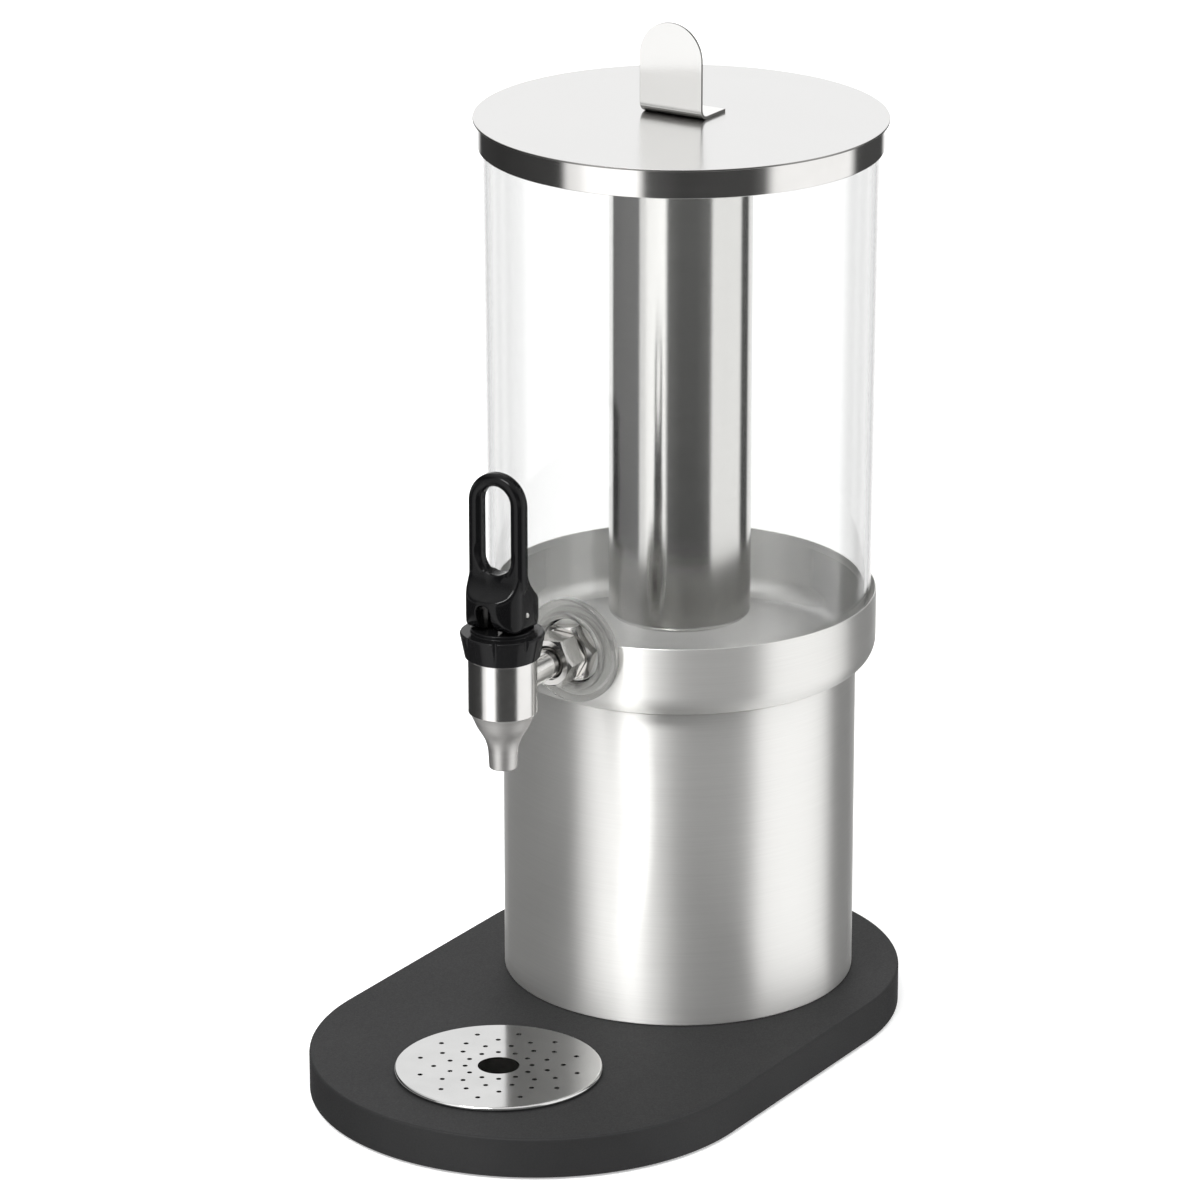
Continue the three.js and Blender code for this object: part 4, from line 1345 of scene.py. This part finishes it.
    def make_lever(self) -> None:
        """Lever: loop and foot joined, hollowed for a thumb, cut for the stem and softened."""
        middle, thick = TAP[1] - self.forward, self.loop_thickness / 2
        half = self.loop_width / 2
        foot = self.pin_height + (self.lip + OVERRUN)
        lever = self.arch("lever_arm", half, [(-half, foot), (half, foot)], self.height,
                          middle + thick, middle - thick)
        carve(lever, self.finger_hole())
        ease(lever, self.loop_round, 60, 6)
        carve(lever, self.make_foot(), how=Join.ADD)
        scoop = turned("scoop", bend(0, self.pin_height + self.scoop_top, self.scoop_radius,
                                     -90, 90, 48), (0, TAP[1] - self.scoop_ahead), 96)
        low, half = self.pin_height - self.fork_below, self.fork_width / 2
        fork = prism("fork", [
            (-half, low), (half, low),
            *bend(0, self.pin_height + self.fork_rise - half, half, 0, 180, 24),
        ], View.FRONT, TAP[1] + self.fork_back, TAP[1] - THROUGH)
        r = self.pin_radius + self.pin_play
        pin_hole = turned_across("pin_hole", [
            (-THROUGH, 0), (-THROUGH, r), (THROUGH, r), (THROUGH, 0),
        ], (TAP[1], self.pin_height))
        carve(lever, self.finger_hole(), scoop, fork, pin_hole)
        self.soften(lever, self.softening, self.voxel)
        seat(lever, Finish.BLACK, "tap_lever", "lever", angle=80)

    def make_pin(self) -> None:
        """Pin: satin steel with eased ends, sunk a little below the sides of the foot."""
        end, r, edge = self.foot_width / 2 - self.pin_sunk, self.pin_radius, self.pin_chamfer
        pin = turned_across("lever_pin_rod", [
            (-end, 0), (-end, r - edge), (-end + edge, r), (end - edge, r), (end, r - edge),
            (end, 0),
        ], (TAP[1], self.pin_height), 32)
        seat(pin, Finish.NUT, "valve_stem", "lever_pin")


@dataclass
class Lid:
    """Steel lid with its tab, and the ice tube in its holder."""

    underside: float = 453.8
    sheet: float = 1.0
    radius: float = 99.6
    edge: float = 0.3
    skirt_radius: float = 97.3
    skirt_height: float = 13.5
    skirt_sheet: float = 0.8
    tab_width: float = 34.3
    tab_height: float = 45.8
    tab_sheet: float = 1.5
    tab_foot: float = 22.4
    tab_bend: float = 5.5
    tab_forward: float = 5.2
    tab_aside: float = -3.0
    tab_ease: float = 0.25
    tab_rim: float = 0.4
    tab_clear: float = 5.0
    tube_radius: float = 34.65
    tube_length: float = 245.5
    tube_corner: float = 3.0
    tube_below: float = 3.0
    tube_sheet: float = 0.8
    lug_proud: float = 2.7
    lug_height: float = 2.2
    lug_angle: float = 20.0
    lug_below: float = 2.0
    lug_ease: float = 0.3
    holder_play: float = 0.6
    holder_wall: float = 4.6
    holder_height: float = 12.0
    holder_ease: float = 0.25
    track_play: float = 0.3
    bayonet_turn: float = 30.0
    bayonet_spare: float = 2.0

    def build(self) -> None:
        """Builds the lid from the disc down."""
        self.make_disc()
        self.make_skirt()
        self.make_tab()
        self.make_tube()
        self.make_holder()

    def make_disc(self) -> None:
        """Disc: flat sheet with a fine rounded edge."""
        low, top, r, edge = self.underside, self.underside + self.sheet, self.radius, self.edge
        disc = turned("lid_plate", [
            (0, low), *bend(r - edge, low + edge, edge, -90, 0, 4),
            *bend(r - edge, top - edge, edge, 0, 90, 4), (0, top),
        ], COLUMN)
        seat(disc, Finish.LID, "lid", "lid_disc")
        # Rim faces take the dark edge steel: partly the real darker cut edge of the sheet, partly
        # painted shade for the shadow under the disc's overhang
        trim(disc, Finish.EDGE, lambda face: abs(face.normal.z) < 0.8)

    def make_skirt(self) -> None:
        """Skirt: a polished band with a rounded foot."""
        outer, inner = self.skirt_radius, self.skirt_radius - self.skirt_sheet
        foot, lip = self.underside - self.skirt_height, self.skirt_sheet / 2
        skirt = turned("lid_band", [
            *bend(outer - lip, foot + lip, lip, 180, 360, 8), (outer, self.underside),
            (inner, self.underside),
        ], COLUMN)
        seat(skirt, Finish.SKIRT, "lid", "lid_skirt")

    def make_tab(self) -> None:
        """Tab: an angle of bent sheet with a round top."""
        base, face = self.underside + self.sheet, COLUMN[1] - self.tab_forward
        back, turn, thick = face + self.tab_foot, self.tab_bend, self.tab_sheet
        half, aside, top = self.tab_width / 2, self.tab_aside, base + self.tab_height
        tab = prism("lid_grip", [
            (back, base), (back, base + thick),
            *bend(face + turn, base + turn, turn - thick, 270, 180, 8), (face + thick, top),
            (face, top), *bend(face + turn, base + turn, turn, 180, 270, 8),
        ], View.SIDE, aside - half, aside + half)
        low = base - self.sheet
        outline = [(aside - half, low), (aside + half, low),
                   *bend(aside, top - half, half, 0, 180, 48)]
        carve(tab, prism("outline", outline, View.FRONT, face - self.tab_clear,
                         back + self.tab_clear), how=Join.COMMON)
        ease(tab, self.tab_ease, 50)
        seat(tab, Finish.TAB, "lid", "lid_tab")
        middle, reach, crown = aside * MM, (half - self.tab_rim) * MM, (top - half) * MM

        def cut(face: bpy.types.MeshPolygon) -> bool:
            """Says whether a face lies on the cut outline, a real darker edge, or under the bend
            of the sheet, where the dark steel is painted shade.
            """
            across, up = face.center.x - middle, max(0, face.center.z - crown)
            return (math.hypot(across, up) > reach and abs(face.normal.y) < 0.9
                    or face.normal.z < -0.3)

        # The cut outline takes the dark steel as its own darker edge; faces under the bend take
        # it as painted shade
        trim(tab, Finish.EDGE, cut)

    @staticmethod
    def ring_part(inner: float, outer: float, middle: float, half: float, low: float,
                  high: float) -> Mesh:
        """Part of an upright ring about the column axis.

        Args:
            inner: Inner radius.
            outer: Outer radius.
            middle: Angle of its middle in degrees.
            half: Angle from there to its ends.
            low: Lowest height.
            high: Highest height.

        Returns:
            The part.
        """
        start, end = middle - half, middle + half
        outline = [*bend(*COLUMN, outer, start, end, 12), *bend(*COLUMN, inner, end, start, 12)]
        return prism("ring_part", outline, View.PLAN, low, high)

    def make_tube(self) -> None:
        """Ice tube: brushed, closed and rounded at its foot, with lugs at its mouth."""
        top, thick = self.underside - self.tube_below, self.tube_sheet
        foot, r, corner = top - self.tube_length, self.tube_radius, self.tube_corner
        tube = turned("ice_cylinder", [
            (0, foot), *bend(r - corner, foot + corner, corner, -90, 0, 8), (r, top),
            (r - thick, top), *bend(r - corner, foot + corner, corner - thick, 0, -90, 8),
            (0, foot + thick),
        ], COLUMN, MEDIUM)
        high = top - self.lug_below
        for i in range(3):
            lug = self.ring_part(r - thick / 2, r + self.lug_proud, 120 * i, self.lug_angle / 2,
                                 high - self.lug_height, high)
            ease(lug, self.lug_ease, 50)
            carve(tube, lug, how=Join.ADD)
        seat(tube, Finish.TUBE, "ice_insert", "ice_tube")

    def make_holder(self) -> None:
        """Holder: a ring under the lid with an L-shaped track for each lug."""
        top, bore = self.underside, self.tube_radius + self.holder_play
        low, outer = top - self.holder_height, bore + self.holder_wall
        ring = turned("tube_bayonet", [(bore, low), (outer, low), (outer, top), (bore, top)],
                      COLUMN, MEDIUM)
        high = top - self.tube_below - self.lug_below + self.track_play
        deep = high - self.lug_height - 2 * self.track_play
        inside, wide = bore - self.sheet, self.tube_radius + self.lug_proud + self.holder_play
        half, turn = self.lug_angle / 2 + self.bayonet_spare, self.bayonet_turn
        for i in range(3):
            a = 120 * i
            carve(ring, self.ring_part(inside, wide, a + turn / 2, turn / 2 + half, deep, high),
                  self.ring_part(inside, wide, a + turn, half, low - OVERRUN, high))
        ease(ring, self.holder_ease, 50)
        seat(ring, Finish.POLISHED, "lid", "tube_holder")


@dataclass
class DripTray:
    """Cup and grille of the drip tray."""

    board_top: float = 21.0
    sheet: float = 0.8
    gap: float = 0.3
    cup_radius: float = 45.7
    cup_depth: float = 12.0
    cup_corner: float = 3.0
    flange_radius: float = 48.6
    grille_radius: float = 50.0
    grille_turn: float = 1.2
    grille_ease: float = 0.18
    finger_radius: float = 10.0
    drip_radius: float = 1.25
    per_ring: int = 12
    ring_shares: tuple[float, ...] = (0.32, 0.48, 0.62, 0.775)
    phase: float = 3.4

    def build(self) -> None:
        """Builds the cup and the grille."""
        self.make_cup()
        self.make_grille()

    def make_cup(self) -> None:
        """Cup: a pressed dish with a flat flange."""
        r, thick, low = self.cup_radius, self.sheet, self.board_top - self.cup_depth
        shelf, corner, lip = self.board_top + self.gap, self.cup_corner, self.sheet / 2
        cup = turned("drip_bowl", [
            (0, low), *bend(r - corner, low + corner, corner, -90, 0, 8), (r, shelf),
            *bend(self.flange_radius - lip, shelf + lip, lip, -90, 90, 6),
            (r - thick, shelf + thick),
            *bend(r - corner, low + corner, corner - thick, 0, -90, 8), (0, low + thick),
        ], TRAY)
        seat(cup, Finish.CUP, "drip_cup_body", "drip_cup")

    def make_grille(self) -> None:
        """Grille: a polished plate with its rim turned down, a finger hole and drip holes."""
        foot, thick = self.board_top + self.gap, self.sheet
        r, turn = self.grille_radius, self.grille_turn
        under, lip = foot + thick + self.gap, thick / 2
        top = under + thick
        grille = turned("drip_plate", [
            (0, under), *bend(r - turn, top - turn, turn - thick, 90, 0, 4),
            *bend(r - lip, foot + lip, lip, 180, 360, 6),
            *bend(r - turn, top - turn, turn, 0, 90, 8), (0, top),
        ], TRAY)
        low, high, pitch = under - OVERRUN, top + OVERRUN, 360 / self.per_ring
        finger = turned("finger", block(self.finger_radius, low, high), TRAY, SMALL)
        drop = turned("drop", block(self.drip_radius, low, high), steps=16)
        places = [around(share * r, self.phase + ring % 2 * pitch / 2 + pitch * i, TRAY)
                  for ring, share in enumerate(self.ring_shares) for i in range(self.per_ring)]
        carve(grille, finger, copies(drop, places))
        ease(grille, self.grille_ease, 60)
        seat(grille, Finish.GRILLE, "drip_grille_body", "drip_grille")


class PackedParts:
    """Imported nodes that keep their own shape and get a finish."""

    def build(self) -> None:
        """Dresses screws, nuts, the stem and its cup."""
        finishes = {"stem": Finish.POLISHED, "seat_cup": Finish.SILICONE}
        for number in (1, 2, 3):
            finishes[f"column_screw_{number}"] = finishes[f"column_nut_{number}"] = Finish.ZINC
        for name, finish in finishes.items():
            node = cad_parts[name]
            node.data.materials.clear()
            node.data.materials.append(finish.material())
            log.info("%s keeps its packed shape", name)


# The set


@dataclass
class Studio:
    """White table and backdrop, soft light with darker gaps, and the camera.

    Stops of light are an angle in degrees and a brightness. An azimuth counts from the camera to
    the right, an elevation from the horizon up.
    """

    distance: float = 2821.854
    height: float = 1191.496
    azimuth: float = 31.4273
    yaw: float = -0.78957
    pitch: float = 19.17270
    roll: float = -0.04097
    lens: float = 183.0786
    sensor: float = 36.0
    floor_radius: float = 14.0
    bands: tuple[Point, ...] = (
        (-180, 1.12), (-166, 1.12), (-156, 0.05), (-120, 0.04), (-71, 0.06), (-67, 1.1),
        (-60, 1.15), (-54, 1.6), (-25, 1.8), (-20, 0.12), (0, 0.06), (40, 0.07), (48, 0.16),
        (54, 1.3), (110, 1.3), (117, 0.08), (156, 0.07), (166, 1.12), (180, 1.12))
    fill: float = 0.6
    fill_height: tuple[Point, ...] = (
        (-90, 1), (-48, 1), (-36, 0.15), (-25, 0), (-13, 0), (-6, 1), (4, 1), (12, 0), (28, 0),
        (36, 1), (90, 1))
    reach: tuple[Point, ...] = ((-90, 0.4), (-70, 0.5), (-50, 1), (40, 1), (55, 0), (90, 0))
    beyond: tuple[Point, ...] = ((-90, 0.7), (-5, 0.7), (5, 1.15), (90, 1.15))
    lamp: float = 18.0
    lamp_width: tuple[Point, ...] = ((-180, 0), (-52, 0), (-48, 1), (-12, 1), (-8, 0), (180, 0))
    lamp_height: tuple[Point, ...] = ((-90, 0), (48, 0), (50, 1), (58, 1), (60, 0), (90, 0))
    behind_start: float = -0.66
    behind_end: float = -0.78
    backdrop: float = 1.14

    def build(self) -> None:
        """Builds the set."""
        self.make_camera()
        self.make_floor()
        self.make_light()
        bpy.context.scene.view_settings.view_transform = "Standard"
        bpy.context.scene.view_settings.look = "None"

    def make_camera(self) -> None:
        """Camera of the photograph, as solved from the ellipses of the object."""
        a, yaw, pitch, roll = (math.radians(v) for v in
                               (self.azimuth, self.yaw, self.pitch, self.roll))
        away = Vector((math.sin(a), -math.cos(a), 0))
        right = Vector((math.cos(a), math.sin(a), 0))
        up = Vector((0, 0, 1))
        ahead = -away * math.cos(yaw) + right * math.sin(yaw)
        side = right * math.cos(yaw) + away * math.sin(yaw)
        view = ahead * math.cos(pitch) - up * math.sin(pitch)
        top = up * math.cos(pitch) + ahead * math.sin(pitch)
        side, top = (side * math.cos(roll) + top * math.sin(roll),
                     top * math.cos(roll) - side * math.sin(roll))
        place = (away * self.distance + Vector((*COLUMN, self.height))) * MM
        camera = bpy.data.objects.new("camera", bpy.data.cameras.new("camera"))
        camera.data.lens, camera.data.sensor_width = self.lens, self.sensor
        camera.data.clip_start, camera.data.clip_end = 0.05, 60.0
        turn = Matrix((side, top, -view)).transposed().to_4x4()
        camera.matrix_world = Matrix.Translation(place) @ turn
        bpy.context.scene.collection.objects.link(camera)
        bpy.context.scene.camera = camera

    def make_floor(self) -> None:
        """Large pale floor."""
        choose()
        bpy.ops.mesh.primitive_circle_add(vertices=96, radius=self.floor_radius,
                                          fill_type="NGON")
        floor = bpy.context.object
        floor.name = "floor"
        coat = Coat("pale floor")
        coat.tint(coat.between(coat.grain(3.0, 2.0)), (0.90, 0.90, 0.90), (0.91, 0.91, 0.91))
        coat.set(Roughness=0.9, Specular_IOR_Level=0.0, Emission_Color=(1, 1, 1, 1),
                 Emission_Strength=0.4)
        floor.data.materials.append(coat.material)
        floor.visible_glossy = floor.visible_transmission = False

    def make_light(self) -> None:
        """Soft light all round: white for the eye, with gaps that steel mirrors as bands."""
        world = bpy.data.worlds.new("studio")
        bpy.context.scene.world = world
        tree = Tree(world)
        tree.nodes.clear()
        where = tree.add("TexCoord").outputs["Generated"]

        def along(direction: Triple) -> Socket:
            """How far the ray points along a direction."""
            node = tree.add("VectorMath", where, direction, operation="DOT_PRODUCT")
            return node.outputs["Value"]

        a = math.radians(self.azimuth)
        near = along((math.sin(a), -math.cos(a), 0))
        angle = tree.maths("ARCTAN2", along((math.cos(a), math.sin(a), 0)), near)
        turn = tree.maths("ADD", tree.maths("DIVIDE", angle, math.tau), 0.5)
        rise = tree.maths("MULTIPLY_ADD", along((0, 0, 1)), 0.5, 0.5)

        def levels(stops: Sequence[Point], by_height: bool = True) -> Socket:
            """Brightness from stops by elevation or else by azimuth."""
            node = tree.add("ValToRGB", Fac=rise if by_height else turn)
            elements = node.color_ramp.elements
            while len(elements) < len(stops):
                elements.new(0.5)
            for element, (degrees, level) in zip(elements, stops):
                height = (math.sin(math.radians(degrees)) + 1) / 2
                element.position = height if by_height else (degrees + 180) / 360
                element.color = (level, level, level, 1)
            return node.outputs["Color"]

        fill = tree.maths("MULTIPLY", levels(self.fill_height), self.fill)
        bands = tree.maths("MAXIMUM", levels(self.bands, by_height=False), fill)
        sky = tree.mixed(levels(self.reach), levels(self.beyond), bands)
        lamp = tree.maths("MULTIPLY", levels(self.lamp_width, by_height=False),
                          levels(self.lamp_height))
        studio = tree.add("Background", Color=sky,
                          Strength=tree.maths("MULTIPLY_ADD", lamp, self.lamp, 1.0))
        plain = tree.add("Background", Color=(1, 1, 1, 1), Strength=self.backdrop)
        ray = tree.add("LightPath").outputs
        behind = tree.between(near, start=self.behind_start, end=self.behind_end, smooth=True)
        seen = tree.maths("MAXIMUM", ray["Is Camera Ray"],
                          tree.maths("MULTIPLY", ray["Is Transmission Ray"], behind))
        chosen = tree.add("MixShader", seen, studio.outputs[0], plain.outputs[0])
        tree.add("OutputWorld", chosen.outputs[0])


def main() -> None:
    """Builds the set and every sub-assembly in order."""
    logging.basicConfig(level=logging.INFO, format="%(message)s")
    for part in (Studio, Base, Vessel, Tap, Lever, Lid, DripTray, PackedParts):
        log.info("building %s", part.__name__)
        part().build()


if __name__ == "__main__":
    main()
